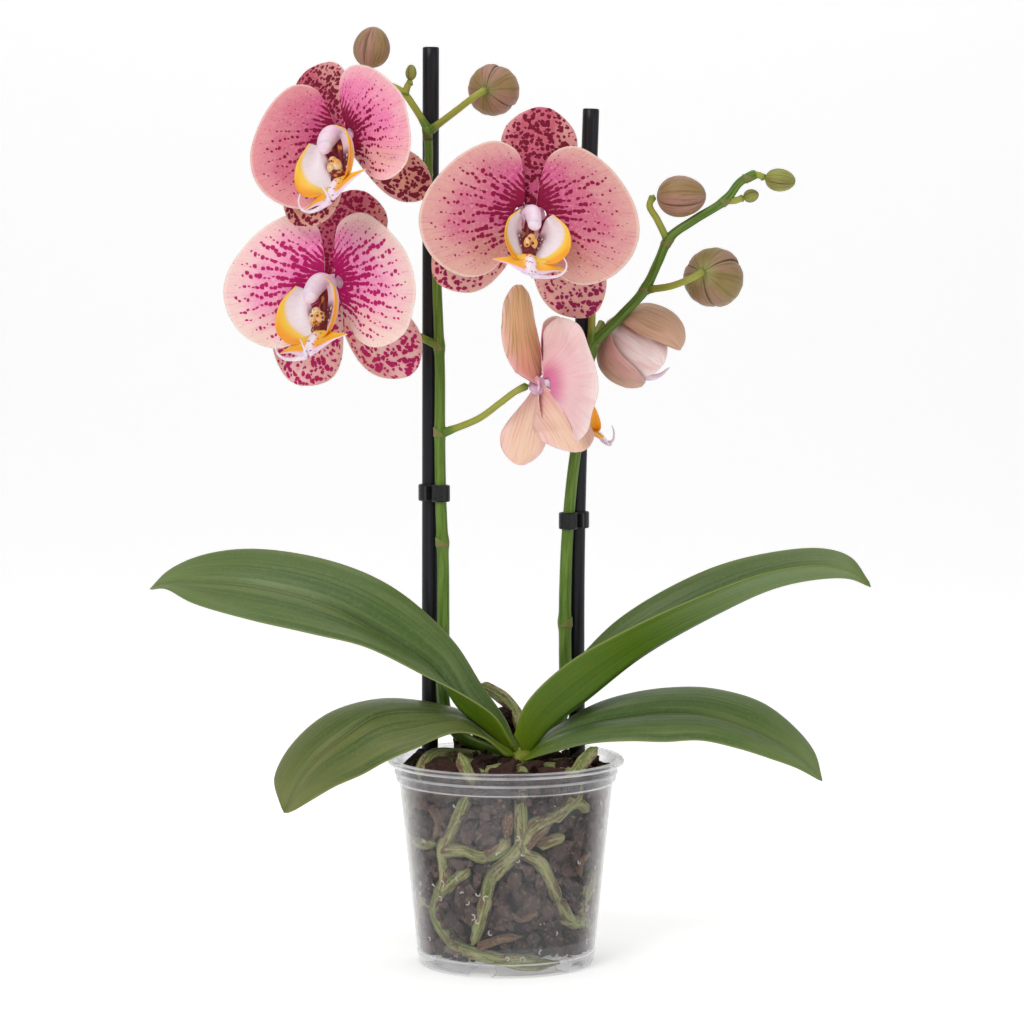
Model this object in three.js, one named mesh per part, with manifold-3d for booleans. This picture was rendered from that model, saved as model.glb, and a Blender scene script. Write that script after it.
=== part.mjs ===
// A potted moth orchid: a clear nursery pot with bark and roots, four strap leaves, and two flower
// spikes clipped to dark stakes, with four open blooms, one half-open bloom and seven buds.
// Millimetres, +Z up, the origin on the pot's axis at the floor, the front towards -Y.

import * as THREE from 'three';
import { mergeVertices } from 'three/addons/utils/BufferGeometryUtils.js';
import Module from 'manifold-3d';

const wasm = await Module();
wasm.setup();

// ---------------------------------------------------------------------------------------------
// Driving dimensions
// ---------------------------------------------------------------------------------------------

const GAP = 0.35;

const POT = {
  height: 105,
  rimRadius: 60.1,
  rimThickness: 3,
  collarRadius: 56.1,
  collarHeight: 8,
  bodyTopRadius: 54.3,
  bodyTop: 93,
  footRadius: 44.6,
  wall: 0.9,
  channelInner: 36,
  channelFloor: 1,
  centreFloor: 6,
  segments: 28,
};
const NOTCH = { width: 14, height: 5, depth: 12, angles: [-18, 54, 126, 198, 270] };
const DRAIN = { radius: 3.5, ring: 20, count: 6 };

const BARK = { inset: 8.6, bottom: 7.3, shoulder: 84.5, crown: 96.5, wallChips: 28, topChips: 13, segments: 16 };
const CHIP = { smallest: 4.2, largest: 9.5, flatness: 0.62 };
const ROOT = { radius: 3.5, sides: 5, step: 16, wallGap: 0.9, entry: 0.95 };
const CROWN = new THREE.Vector3(8, -8, 100.9);
const STEM = { radius: 7, bottom: 101, top: 111 };

const STAKE = { radius: 4.2, sides: 12, foot: 58 };
const SPIKE = { baseRadius: 3.6, tipRadius: 2.1, sides: 6 };
const STALK_RADIUS = 1.8;
const CLIP = { height: 8.5, wall: 1.3, play: 0.6, sides: 18 };

const LEAF = { thick: 2.2, thin: 0.9, rows: 15, cols: 6 };
const PETAL = { thickness: 0.8, rows: 3, cols: 10, lift: 1.8, claw: 0.1 };
const SEPAL = { thickness: 0.8, rows: 5, cols: 4, lift: -1.4 };
const HUB = new THREE.Vector3(5.2, 5.2, 5.4);
const HUB_DEPTH = -1.5;
const LIP = { thickness: 0.8 };

const COLOURS = {
  pot: { color: 0xd9d6de, roughness: 0.15, metalness: 0 },
  bark: { color: 0x4a3430, roughness: 0.9, metalness: 0 },
  roots: { color: 0x98a070, roughness: 0.7, metalness: 0 },
  stem: { color: 0x5f8a2c, roughness: 0.5, metalness: 0 },
  leaf: { color: 0x40633a, roughness: 0.45, metalness: 0 },
  stake: { color: 0x232429, roughness: 0.55, metalness: 0 },
  clip: { color: 0x1d1e22, roughness: 0.4, metalness: 0 },
  petals: { color: 0xdf9aa0, roughness: 0.6, metalness: 0 },
  lip: { color: 0xf0dcd8, roughness: 0.5, metalness: 0 },
  bud: { color: 0x9a7c62, roughness: 0.6, metalness: 0 },
};

// ---------------------------------------------------------------------------------------------
// Solids and helpers
// ---------------------------------------------------------------------------------------------

const radians = THREE.MathUtils.degToRad;
const lerp = THREE.MathUtils.lerp;
const vec = (x, y, z) => new THREE.Vector3(x, y, z);
const vectors = (list) => list.map(([x, y, z]) => vec(x, y, z));

// A repeatable source of numbers in 0..1.
function seeded(seed) {
  let state = seed;
  return () => {
    state = (state * 1664525 + 1013904223) % 4294967296;
    return state / 4294967296;
  };
}

function solidFrom(geometry) {
  const bare = geometry.clone();
  bare.deleteAttribute('normal');
  bare.deleteAttribute('uv');
  const merged = mergeVertices(bare, 1e-4);
  return new wasm.Manifold(new wasm.Mesh({
    numProp: 3,
    vertProperties: Float32Array.from(merged.attributes.position.array),
    triVerts: Uint32Array.from(merged.index.array),
  }));
}

function geometryFrom(solid) {
  const mesh = solid.getMesh();
  const geometry = new THREE.BufferGeometry();
  geometry.setAttribute('position', new THREE.BufferAttribute(mesh.vertProperties, 3));
  geometry.setIndex(new THREE.BufferAttribute(mesh.triVerts, 1));
  geometry.computeVertexNormals();
  return geometry;
}

function unite(solids) {
  return solids.reduce((sum, solid) => sum.add(solid));
}

// The largest connected body of a solid, for a piece whose cut leaves scraps behind.
function mainBody(solid) {
  return solid.decompose().reduce((best, body) => (body.volume() > best.volume() ? body : best));
}

function indexedGeometry(points, indices) {
  const geometry = new THREE.BufferGeometry();
  const positions = points.flatMap((point) => [point.x, point.y, point.z]);
  geometry.setAttribute('position', new THREE.Float32BufferAttribute(positions, 3));
  geometry.setIndex(indices);
  return geometry;
}

function normalAt(surface, u, v) {
  const step = 1e-3;
  const along = surface(Math.min(u + step, 1), v).sub(surface(Math.max(u - step, 0), v));
  const across = surface(u, Math.min(v + step, 1)).sub(surface(u, Math.max(v - step, 0)));
  return along.cross(across).normalize();
}

// A closed blade: a surface over u and v in 0..1, thickened to both sides. Both faces are split
// along the same diagonals, so they never cross.
function blade(surface, rows, cols, thickness) {
  const upper = [];
  const lower = [];
  for (let i = 0; i <= rows; i += 1) {
    for (let j = 0; j <= cols; j += 1) {
      const u = i / rows;
      const v = j / cols;
      const offset = normalAt(surface, u, v).multiplyScalar(thickness(u) / 2);
      upper.push(surface(u, v).add(offset));
      lower.push(surface(u, v).sub(offset));
    }
  }
  const half = upper.length;
  const at = (i, j) => i * (cols + 1) + j;
  const indices = [];
  for (let i = 0; i < rows; i += 1) {
    for (let j = 0; j < cols; j += 1) {
      const [a, b, c, d] = [at(i, j), at(i + 1, j), at(i + 1, j + 1), at(i, j + 1)];
      indices.push(a, b, c, a, c, d);
      indices.push(a + half, c + half, b + half, a + half, d + half, c + half);
    }
  }
  const rim = (p, q) => indices.push(p, p + half, q + half, p, q + half, q);
  for (let i = 0; i < rows; i += 1) {
    rim(at(i, 0), at(i + 1, 0));
    rim(at(i + 1, cols), at(i, cols));
  }
  for (let j = 0; j < cols; j += 1) {
    rim(at(rows, j), at(rows, j + 1));
    rim(at(0, j + 1), at(0, j));
  }
  return indexedGeometry([...upper, ...lower], indices);
}

// A round stalk through the given points, tapering between two radii, with flat ends.
function stalk(points, startRadius, endRadius, sides, steps) {
  const curve = new THREE.CatmullRomCurve3(points, false, 'centripetal');
  const frames = curve.computeFrenetFrames(steps);
  const rings = [];
  for (let i = 0; i <= steps; i += 1) {
    const centre = curve.getPointAt(i / steps);
    const radius = lerp(startRadius, endRadius, i / steps);
    for (let k = 0; k < sides; k += 1) {
      const turn = (k / sides) * 2 * Math.PI;
      rings.push(centre.clone()
        .addScaledVector(frames.normals[i], radius * Math.cos(turn))
        .addScaledVector(frames.binormals[i], radius * Math.sin(turn)));
    }
  }
  const start = rings.length;
  rings.push(curve.getPointAt(0), curve.getPointAt(1));
  const indices = [];
  for (let k = 0; k < sides; k += 1) {
    const next = (k + 1) % sides;
    for (let i = 0; i < steps; i += 1) {
      const [a, b] = [i * sides + k, i * sides + next];
      indices.push(a, b, b + sides, a, b + sides, a + sides);
    }
    indices.push(start, next, k, start + 1, steps * sides + k, steps * sides + next);
  }
  return indexedGeometry(rings, indices);
}

function ellipsoid(centre, radii, widthSegments, heightSegments) {
  return new THREE.SphereGeometry(1, widthSegments, heightSegments)
    .scale(radii.x, radii.y, radii.z)
    .translate(centre.x, centre.y, centre.z);
}

function makeMesh(name, geometry, finish) {
  const mesh = new THREE.Mesh(geometry, new THREE.MeshStandardMaterial(finish));
  mesh.name = name;
  return mesh;
}

// ---------------------------------------------------------------------------------------------
// Pot
// ---------------------------------------------------------------------------------------------

function wallRadius(z) {
  return POT.footRadius + (POT.bodyTopRadius - POT.footRadius) * (z / POT.bodyTop);
}

function innerWallRadius(z) {
  return wallRadius(z) - POT.wall;
}

function potProfile() {
  const underRim = POT.height - POT.rimThickness;
  const collarFoot = underRim - POT.collarHeight;
  const innerCollar = POT.collarRadius - POT.wall;
  const floorTop = POT.centreFloor + POT.channelFloor;
  return [
    [0, POT.centreFloor],
    [POT.channelInner - 3, POT.centreFloor],
    [POT.channelInner, 0],
    [POT.footRadius, 0],
    [POT.bodyTopRadius, POT.bodyTop],
    [POT.collarRadius, collarFoot],
    [POT.collarRadius, underRim],
    [POT.rimRadius, underRim + 0.8],
    [POT.rimRadius, POT.height - 0.7],
    [POT.rimRadius - 1, POT.height],
    [innerCollar, POT.height],
    [innerCollar, collarFoot],
    [innerWallRadius(POT.bodyTop), POT.bodyTop - 1],
    [innerWallRadius(POT.channelFloor), POT.channelFloor],
    [POT.channelInner + 1, POT.channelFloor],
    [POT.channelInner - 2, floorTop],
    [0, floorTop],
  ].map(([radius, z]) => new THREE.Vector2(radius, z));
}

// A wedge that cuts one drain notch through the foot, wider at the floor than at its top.
function notchCutter(angle) {
  const half = NOTCH.width / 2;
  const outline = new THREE.Shape([
    new THREE.Vector2(-half, -1),
    new THREE.Vector2(half, -1),
    new THREE.Vector2(half - 1.5, NOTCH.height),
    new THREE.Vector2(1.5 - half, NOTCH.height),
  ]);
  return solidFrom(new THREE.ExtrudeGeometry(outline, { depth: NOTCH.depth, bevelEnabled: false })
    .rotateX(Math.PI / 2)
    .translate(0, 2 - POT.footRadius + NOTCH.depth - 4, 0)
    .rotateZ(radians(angle)));
}

function drainCutter(index) {
  const turn = (index / DRAIN.count) * 2 * Math.PI;
  return solidFrom(new THREE.CylinderGeometry(DRAIN.radius, DRAIN.radius, 4, 8)
    .rotateX(Math.PI / 2)
    .translate(DRAIN.ring * Math.cos(turn), DRAIN.ring * Math.sin(turn), POT.centreFloor));
}

function makePot() {
  const shell = solidFrom(new THREE.LatheGeometry(potProfile(), POT.segments).rotateX(Math.PI / 2));
  const cutters = NOTCH.angles.map(notchCutter);
  for (let index = 0; index < DRAIN.count; index += 1) {
    cutters.push(drainCutter(index));
  }
  return makeMesh('pot', geometryFrom(shell.subtract(unite(cutters))), COLOURS.pot);
}

// ---------------------------------------------------------------------------------------------
// Roots
// ---------------------------------------------------------------------------------------------

// Each root's stops down the inside of the wall: angle from the front in degrees, and height.
const WALL_ROOTS = [
  [[9, 92], [9, 75], [11, 64], [21, 59], [29, 49], [39, 35]],
  [[-24, 92], [-30, 80], [-36, 72], [-43, 64], [-42, 50], [-50, 40], [-56, 30], [-47, 20],
    [-36, 14], [-19, 11], [-4, 9], [14, 6], [42, 5.2]],
  [[-78, 90], [-90, 76], [-93, 60], [-88, 44], [-75, 36], [-62, 30]],
  [[50, 92], [42, 88], [30, 82], [16, 77], [7, 65], [-2, 58], [-9, 52], [-13, 42], [-16, 33],
    [-24, 17]],
  [[86, 92], [94, 70], [88, 52], [70, 44], [62, 38], [64, 28], [78, 20]],
  [[140, 92], [147, 70], [136, 48], [142, 26]],
  [[180, 92], [172, 68], [184, 44], [176, 20]],
  [[222, 92], [212, 70], [228, 46], [220, 22]],
];
// Side roots that leave the main ones on the wall.
const SIDE_ROOTS = [
  [[-42, 63], [-25, 64], [-15, 62], [-6, 64], [2, 71]],
  [[38, 36], [52, 25], [66, 24], [86, 17]],
];
// Roots that stay in the air above the bark.
const AIR_ROOTS = [
  [[4, -7, 101], [-18, 0, 105], [-36, -14, 108], [-42, -25, 104], [-43, -26, 97.5]],
  [[8, -7, 101], [3, 10, 110], [-6, 22, 119], [-12, 32, 125]],
  [[10, -9, 101], [24, -24, 101], [33.5, -34.5, 101.5], [38.5, -33, 107.5], [45.5, -25.5, 113.5]],
  [[6, -9, 101], [-8, -30, 101], [-17, -42, 100], [-20, -44, 105], [-23, -42, 113]],
];

function wallStop([angle, z]) {
  const radius = innerWallRadius(z) - ROOT.radius - ROOT.wallGap;
  const turn = radians(angle);
  return vec(radius * Math.sin(turn), -radius * Math.cos(turn), z);
}

// From the crown, over the top of the bark and down onto the wall at the root's first stop.
function overTheTop(stop) {
  const shoulder = vec(lerp(CROWN.x, stop.x, 0.8), lerp(CROWN.y, stop.y, 0.8), CROWN.z - 1);
  return [CROWN.clone(), shoulder, vec(stop.x * ROOT.entry, stop.y * ROOT.entry, stop.z)];
}

function rootPaths() {
  const main = WALL_ROOTS.map((stops) => {
    const wall = stops.map(wallStop);
    return [...overTheTop(wall[0]), ...wall.slice(1)];
  });
  const side = SIDE_ROOTS.map((stops) => stops.map(wallStop));
  return [...main, ...side, ...AIR_ROOTS.map(vectors)];
}

function rootSolid(path, grow) {
  const length = new THREE.CatmullRomCurve3(path).getLength();
  const radius = ROOT.radius + grow;
  return solidFrom(stalk(path, radius, radius * 0.86, ROOT.sides, Math.ceil(length / ROOT.step)));
}

function rootsSolid(grow) {
  return mainBody(unite(rootPaths().map((path) => rootSolid(path, grow))));
}

// ---------------------------------------------------------------------------------------------
// Bark
// ---------------------------------------------------------------------------------------------

function barkCore() {
  const profile = [
    [0, BARK.bottom],
    [POT.channelInner - 3, BARK.bottom],
    [innerWallRadius(12) - BARK.inset, 12],
    [innerWallRadius(50) - BARK.inset, 50],
    [innerWallRadius(BARK.shoulder) - BARK.inset, BARK.shoulder],
    [30, BARK.crown - 3],
    [0, BARK.crown],
  ].map(([radius, z]) => new THREE.Vector2(radius, z));
  return solidFrom(new THREE.LatheGeometry(profile, BARK.segments).rotateX(Math.PI / 2));
}

// A rough chip: a low solid with its corners moved at random, flattened along one direction.
function chip(centre, radius, facing, random) {
  const geometry = mergeVertices(new THREE.IcosahedronGeometry(radius, 0).deleteAttribute('normal')
    .deleteAttribute('uv'), 1e-3);
  const position = geometry.attributes.position;
  for (let i = 0; i < position.count; i += 1) {
    const corner = new THREE.Vector3().fromBufferAttribute(position, i);
    corner.multiplyScalar(0.78 + 0.22 * random());
    position.setXYZ(i, corner.x, corner.y, corner.z * CHIP.flatness);
  }
  const turn = new THREE.Quaternion().setFromUnitVectors(vec(0, 0, 1), facing);
  const spin = new THREE.Quaternion().setFromAxisAngle(vec(0, 0, 1), random() * 6);
  geometry.applyQuaternion(spin).applyQuaternion(turn).translate(centre.x, centre.y, centre.z);
  return solidFrom(geometry);
}

// How large a chip may be at this place before it meets a root, a stake or the stem.
function roomForChip(centre, obstacles) {
  const distances = obstacles.map(({ point, radius }) => centre.distanceTo(point) - radius);
  return Math.min(CHIP.largest, ...distances) - GAP;
}

function chipObstacles() {
  const obstacles = [];
  rootPaths().forEach((path) => {
    new THREE.CatmullRomCurve3(path, false, 'centripetal').getSpacedPoints(60)
      .forEach((point) => obstacles.push({ point, radius: ROOT.radius }));
  });
  [...STAKES, ...SPIKES].forEach(({ path, radius }) => {
    const top = Math.max(...path.map((point) => point[2]));
    const count = Math.ceil((top - STAKE.foot) / 3);
    new THREE.CatmullRomCurve3(vectors(path), false, 'centripetal').getSpacedPoints(count)
      .filter((point) => point.z < 125)
      .forEach((point) => obstacles.push({ point, radius: radius + 0.3 }));
  });
  for (let z = STEM.bottom; z < STEM.top; z += 3) {
    obstacles.push({ point: vec(CROWN.x, CROWN.y, z), radius: STEM.radius });
  }
  return obstacles;
}

function wallChips(obstacles, random) {
  const chips = [];
  for (let tries = 0; tries < 900 && chips.length < BARK.wallChips; tries += 1) {
    const turn = random() * 2 * Math.PI;
    const z = lerp(15, 88, random());
    const radius = innerWallRadius(z) - BARK.inset + 0.5;
    const centre = vec(radius * Math.cos(turn), radius * Math.sin(turn), z);
    const size = roomForChip(centre, obstacles);
    if (size > CHIP.smallest && chips.every((other) => other.centre.distanceTo(centre) > 8)) {
      chips.push({ centre, size: Math.min(size, 9), facing: vec(centre.x, centre.y, 0).normalize() });
    }
  }
  return chips;
}

function topChips(obstacles, random) {
  const chips = [];
  for (let tries = 0; tries < 600 && chips.length < BARK.topChips; tries += 1) {
    const turn = random() * 2 * Math.PI;
    const radius = 44 * Math.sqrt(random());
    const centre = vec(radius * Math.cos(turn), radius * Math.sin(turn), BARK.crown);
    const size = roomForChip(centre, obstacles);
    if (size > CHIP.smallest && chips.every((other) => other.centre.distanceTo(centre) > 7)) {
      const facing = vec(random() - 0.5, random() - 0.5, 1).normalize();
      chips.push({ centre, size, facing });
    }
  }
  return chips;
}

function makeBark() {
  const random = seeded(11);
  const obstacles = chipObstacles();
  const chips = [...wallChips(obstacles, random), ...topChips(obstacles, random)]
    .map(({ centre, size, facing }) => chip(centre, size, facing, random));
  const holes = STAKES.map(stakeHole);
  const bark = unite([barkCore(), ...chips]).subtract(unite(holes));
  return makeMesh('bark', geometryFrom(mainBody(bark)), COLOURS.bark);
}

// ---------------------------------------------------------------------------------------------
// Leaves
// ---------------------------------------------------------------------------------------------

// Three rails from the base to the tip: the back margin, the midrib and the front margin.
const LEAVES = [
  {
    name: 'leaf_upper_left',
    camber: [1.2, 1.2],
    back: [[4, -3, 114], [0, -3, 124], [-12, -5, 142], [-27, -3, 165], [-56, -1, 191], [-87, 7, 204],
      [-129, 16, 210], [-157, 22, 206], [-174, 23, 198], [-182, 21, 190]],
    middle: [[8, -9, 106], [-9, -12, 120], [-23, -14, 132], [-37, -15, 152], [-65, -11, 170],
      [-94, -6, 184], [-130, 2, 192], [-159, 11, 193], [-174, 17, 192], [-183, 20, 189]],
    front: [[2, -15, 115], [-5, -21, 128], [-19, -27, 139], [-41, -32, 151], [-70, -31, 165],
      [-97, -26, 171], [-130, -14, 177], [-159, -2, 184], [-174, 10, 190], [-182, 18, 189]],
  },
  {
    name: 'leaf_upper_right',
    camber: [1.2, 0.6],
    back: [[8, -2, 115], [12, 2, 129], [32, 2, 150], [58, 2, 176], [100, 0, 200], [131, 0, 209],
      [160, -4, 212], [174, -11, 208], [182, -18, 197]],
    middle: [[10, -9, 106], [20, -12, 120], [41, -12, 137], [69, -12, 159], [108, -13, 181],
      [135, -14, 193], [159, -16, 198], [173, -18, 198], [183, -20, 194]],
    front: [[4, -14, 118], [10, -20, 135], [30, -22, 155], [61, -30, 174], [100, -34, 192],
      [131, -35, 203], [157, -33, 206], [171, -29, 203], [182, -22, 197]],
  },
  {
    name: 'leaf_lower_right',
    camber: [1.5, 3],
    back: [[14, -4, 112], [22, -1, 118], [44, 4, 131], [64, 6, 137], [85, 5, 140], [105, 1, 140],
      [129, -5, 134], [145, -14, 123], [155, -22, 111], [158, -33, 99]],
    middle: [[12, -12, 107], [21, -13, 115], [42, -12, 123], [63, -13, 127], [82, -15, 129],
      [101, -18, 128], [122, -22, 122], [137, -27, 115], [149, -31, 107], [158, -34, 98]],
    front: [[9, -20, 106], [20, -24, 110], [42, -28, 116], [62, -33, 118], [79, -36, 118],
      [97, -38, 119], [116, -39, 115], [132, -40, 110], [145, -38, 105], [156, -36, 99]],
  },
  {
    name: 'leaf_lower_left',
    camber: [1.5, 1.5],
    back: [[0, -8, 112], [-7, -3, 119], [-20, 2, 127], [-43, 5, 133], [-66, 5, 134], [-91, 1, 127],
      [-109, -5, 112], [-117, -14, 97], [-114, -27, 87], [-112, -33, 84]],
    middle: [[4, -13, 107], [-8, -13, 115], [-22, -12, 127], [-44, -12, 130], [-65, -13, 128],
      [-81, -16, 118], [-96, -21, 106], [-105, -27, 94], [-110, -32, 84], [-111, -34, 82]],
    front: [[0, -18, 108], [-11, -23, 118], [-25, -25, 121], [-46, -26, 113], [-60, -28, 107],
      [-72, -33, 101], [-85, -38, 96], [-96, -41, 90], [-105, -37, 84], [-109, -35, 82]],
  },
];

// Half the leaf from its midrib (side 0) to one margin (side 1), arched by the leaf's camber.
function leafSurface(leaf, grow) {
  const rails = ['back', 'middle', 'front'].map((rail) => {
    const points = vectors(leaf[rail]);
    points[0].add(points[0].clone().sub(points[1]).setLength(grow));
    return new THREE.CatmullRomCurve3(points, false, 'centripetal');
  });
  return (u, v) => {
    const [back, middle, front] = rails.map((rail) => rail.getPoint(u));
    const across = v * 2 - 1;
    const margin = across < 0 ? back : front;
    const reach = margin.clone().sub(middle);
    const share = Math.abs(across) * (1 + grow / Math.max(reach.length(), 2));
    const normal = front.clone().sub(back).cross(rails[1].getTangent(u)).normalize();
    if (normal.z < 0) {
      normal.negate();
    }
    const camber = leaf.camber[across < 0 ? 0 : 1] * Math.sin(Math.PI * Math.abs(across));
    return middle.addScaledVector(reach, share).addScaledVector(normal, camber * Math.sin(Math.PI * u));
  };
}

function leafSolid(leaf, grow) {
  const thickness = (u) => lerp(LEAF.thick, LEAF.thin, Math.sqrt(u)) + 2 * grow;
  return solidFrom(blade(leafSurface(leaf, grow), LEAF.rows, LEAF.cols, thickness));
}

// The leaves in turn, each cut clear of those before it where their bases clasp the stem.
function makeLeaves() {
  const grown = LEAVES.map((leaf) => leafSolid(leaf, GAP));
  return LEAVES.map((leaf, index) => {
    const cut = grown.slice(0, index).reduce((rest, other) => rest.subtract(other), leafSolid(leaf, 0));
    return makeMesh(leaf.name, geometryFrom(mainBody(cut)), COLOURS.leaf);
  });
}

// ---------------------------------------------------------------------------------------------
// Stem base, stakes, spikes and clips
// ---------------------------------------------------------------------------------------------

const STAKES = [
  { name: 'stake_left', radius: STAKE.radius, path: [[-39.4, 17, STAKE.foot], [-38.1, 17, 465]] },
  { name: 'stake_right', radius: STAKE.radius, path: [[36.8, 17.4, STAKE.foot], [36.3, 17.4, 216], [43.1, 17.4, 434]] },
];

const SPIKES = [
  {
    name: 'spike_left',
    radius: SPIKE.baseRadius,
    path: [[4, -2.4, 105.5], [-8, 6, 107.5], [-22, 13, 113], [-30, 13, 123], [-32.4, 11, 135],
      [-32.1, 9.5, 170], [-32.2, 9.5, 205], [-33.3, 9.5, 237], [-33.7, 9.5, 270], [-33.6, 9.5, 301],
      [-34.8, 9.5, 338], [-36, 9.5, 368], [-39.6, 10, 396], [-39, 10, 412], [-39.8, 10, 424]],
    stalks: [
      [[-39.8, 10, 424], [-46, 10, 434], [-52, 9, 442], [-60, 8, 446], [-67, 6, 449.5], [-69.7, 5, 452.8]],
      [[-51, 9, 441], [-49.4, 8.5, 445.6], [-48.3, 8, 446.8]],
      [[-38, 10, 423], [-24, -1, 433], [-15, -6.5, 439.6], [-10.7, -1.5, 442.3]],
      [[-31.5, 9, 270], [-14, -2, 277.6], [-3, -13, 286], [4.5, -17, 291.8], [10, -16.4, 294.6]],
      [[-34, 9.5, 314], [-48, 12, 321], [-66, 15, 333], [-81, 12.5, 342.6], [-84.9, 5, 345.2]],
      [[-38.5, 10, 401], [-52, 9, 407], [-69, 3, 415], [-77.3, -11.8, 418.2]],
    ],
    bracts: [[-33, 9.5, 214]],
  },
  {
    name: 'spike_right',
    radius: SPIKE.baseRadius,
    path: [[12.2, -2.4, 105.5], [19.5, 7, 109], [26, 13, 118], [30.2, 12, 135], [30.2, 11, 155],
      [30.1, 10, 184], [31.1, 10, 215], [33.6, 10, 246], [37.6, 10, 276], [41.1, 10, 302],
      [44, 10.5, 314], [57.9, 11, 328.6], [70, 11, 342], [77.1, 11, 356.5], [83.1, 11, 369],
      [94.7, 10, 377.4], [111.3, 9, 388], [118.5, 9, 397], [126, 8, 400.8]],
    stalks: [
      [[42.7, 10, 310], [43.6, 9, 330], [43, 7, 346], [31, -3, 368], [16, -18, 378.4], [12.4, -27.8, 379.7]],
      [[71.5, 11, 342.5], [84, 2, 344.6], [95.5, -1.5, 349.4], [99.1, 4.6, 351.4]],
      [[82, 11, 367], [76.5, 10.5, 378], [72.6, 10, 385], [74.2, 10, 389.2]],
      [[111, 9, 387.6], [115.4, 9, 387.4], [119.5, 9, 388.7]],
      [[124, 8.4, 400.4], [128, 8, 400.2], [130.2, 8, 399]],
      [[44, 10.5, 314], [46, 17, 320.6], [48.7, 22.4, 325.3]],
    ],
    bracts: [[30.6, 10, 173], [44.5, 10.5, 308]],
  },
];

const CLIPS = [
  { name: 'clip_left', stake: STAKES[0], spike: SPIKES[0], z: 239 },
  { name: 'clip_right', stake: STAKES[1], spike: SPIKES[1], z: 225 },
];

// The plain hole that a stake stands in.
function stakeHole({ path, radius }) {
  const points = vectors(path);
  points[0].z -= GAP;
  return solidFrom(stalk(points, radius + GAP, radius + GAP, STAKE.sides, (points.length - 1) * 2));
}

function makeStake({ name, radius, path }) {
  return makeMesh(name, stalk(vectors(path), radius, radius, STAKE.sides, (path.length - 1) * 2), COLOURS.stake);
}

function stemSolid(grow) {
  const points = [vec(CROWN.x, CROWN.y, STEM.bottom - grow), vec(CROWN.x, CROWN.y, STEM.top + grow)];
  return solidFrom(stalk(points, STEM.radius + grow, STEM.radius - 1 + grow, 10, 3));
}

function makeStemBase(roots) {
  const cutters = unite([roots, ...LEAVES.map((leaf) => leafSolid(leaf, 1.6 * GAP))]);
  return makeMesh('stem_base', geometryFrom(mainBody(stemSolid(0).subtract(cutters))), COLOURS.stem);
}

function bractSolid([x, y, z]) {
  return solidFrom(new THREE.CylinderGeometry(SPIKE.baseRadius + 0.2, SPIKE.baseRadius + 0.7, 5, 8)
    .rotateX(Math.PI / 2)
    .translate(x, y, z));
}

function makeSpike(spike, stem) {
  const points = vectors(spike.path);
  const steps = Math.round((points.length - 1) * 1.5);
  const main = solidFrom(stalk(points, SPIKE.baseRadius, SPIKE.tipRadius, SPIKE.sides, steps));
  const tip = solidFrom(ellipsoid(points.at(-1), vec(2.8, 2.8, 2.8), 6, 4));
  const stalks = spike.stalks.map((path) => (
    solidFrom(stalk(vectors(path), STALK_RADIUS + 0.4, STALK_RADIUS, 5, path.length * 1.5 | 0))));
  const whole = unite([main, tip, ...stalks, ...spike.bracts.map(bractSolid)]);
  return makeMesh(spike.name, geometryFrom(mainBody(whole.subtract(stem))), COLOURS.stem);
}

// Where a path passes a height, and how far along its length that is, in 0..1.
function passing(path, z) {
  const points = new THREE.CatmullRomCurve3(vectors(path), false, 'centripetal').getSpacedPoints(400);
  const near = points.reduce((best, point, index) => (
    Math.abs(point.z - z) < Math.abs(points[best].z - z) ? index : best), 0);
  return { point: points[near], share: near / 400 };
}

function ringCylinder({ x, y }, z, radius, height) {
  return solidFrom(new THREE.CylinderGeometry(radius, radius, height, CLIP.sides)
    .rotateX(Math.PI / 2)
    .translate(x, y, z));
}

// Two rings in one piece, round the stake and round the spike.
function makeClip({ name, stake, spike, z }) {
  const onSpike = passing(spike.path, z);
  const rings = [
    { centre: passing(stake.path, z).point, bore: stake.radius + CLIP.play },
    { centre: onSpike.point, bore: lerp(SPIKE.baseRadius, SPIKE.tipRadius, onSpike.share) + CLIP.play },
  ];
  const outer = rings.map(({ centre, bore }) => ringCylinder(centre, z, bore + CLIP.wall, CLIP.height));
  const bores = rings.map(({ centre, bore }) => ringCylinder(centre, z, bore, CLIP.height + 2));
  return makeMesh(name, geometryFrom(unite(outer).subtract(unite(bores))), COLOURS.clip);
}

// ---------------------------------------------------------------------------------------------
// Blooms: x to the bloom's right, y up and z forward, as seen from its front
// ---------------------------------------------------------------------------------------------

// The right petal's margin from the top of its claw, round the outside, to the bottom.
const PETAL_MARGIN = new THREE.SplineCurve([[4.5, 7], [4.5, 20], [9, 31], [21, 35], [37, 26.5],
  [50, 11], [54.5, -3], [52.5, -15], [46, -24.5], [37, -30.5], [27, -32.5], [17.5, -29], [10, -19],
  [5.5, -6]].map(([x, y]) => new THREE.Vector2(x, y)));
const PETAL_CLAW = new THREE.Vector2(3, 1);
// Half the sepal's width along its length, as shares of the full half width.
const SEPAL_WIDTHS = new THREE.SplineCurve([[0, 0.24], [0.15, 0.36], [0.32, 0.62], [0.5, 0.9],
  [0.66, 1], [0.8, 0.9], [0.91, 0.62], [0.98, 0.3], [1, 0.12]].map(([t, w]) => new THREE.Vector2(t, w)));

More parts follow.
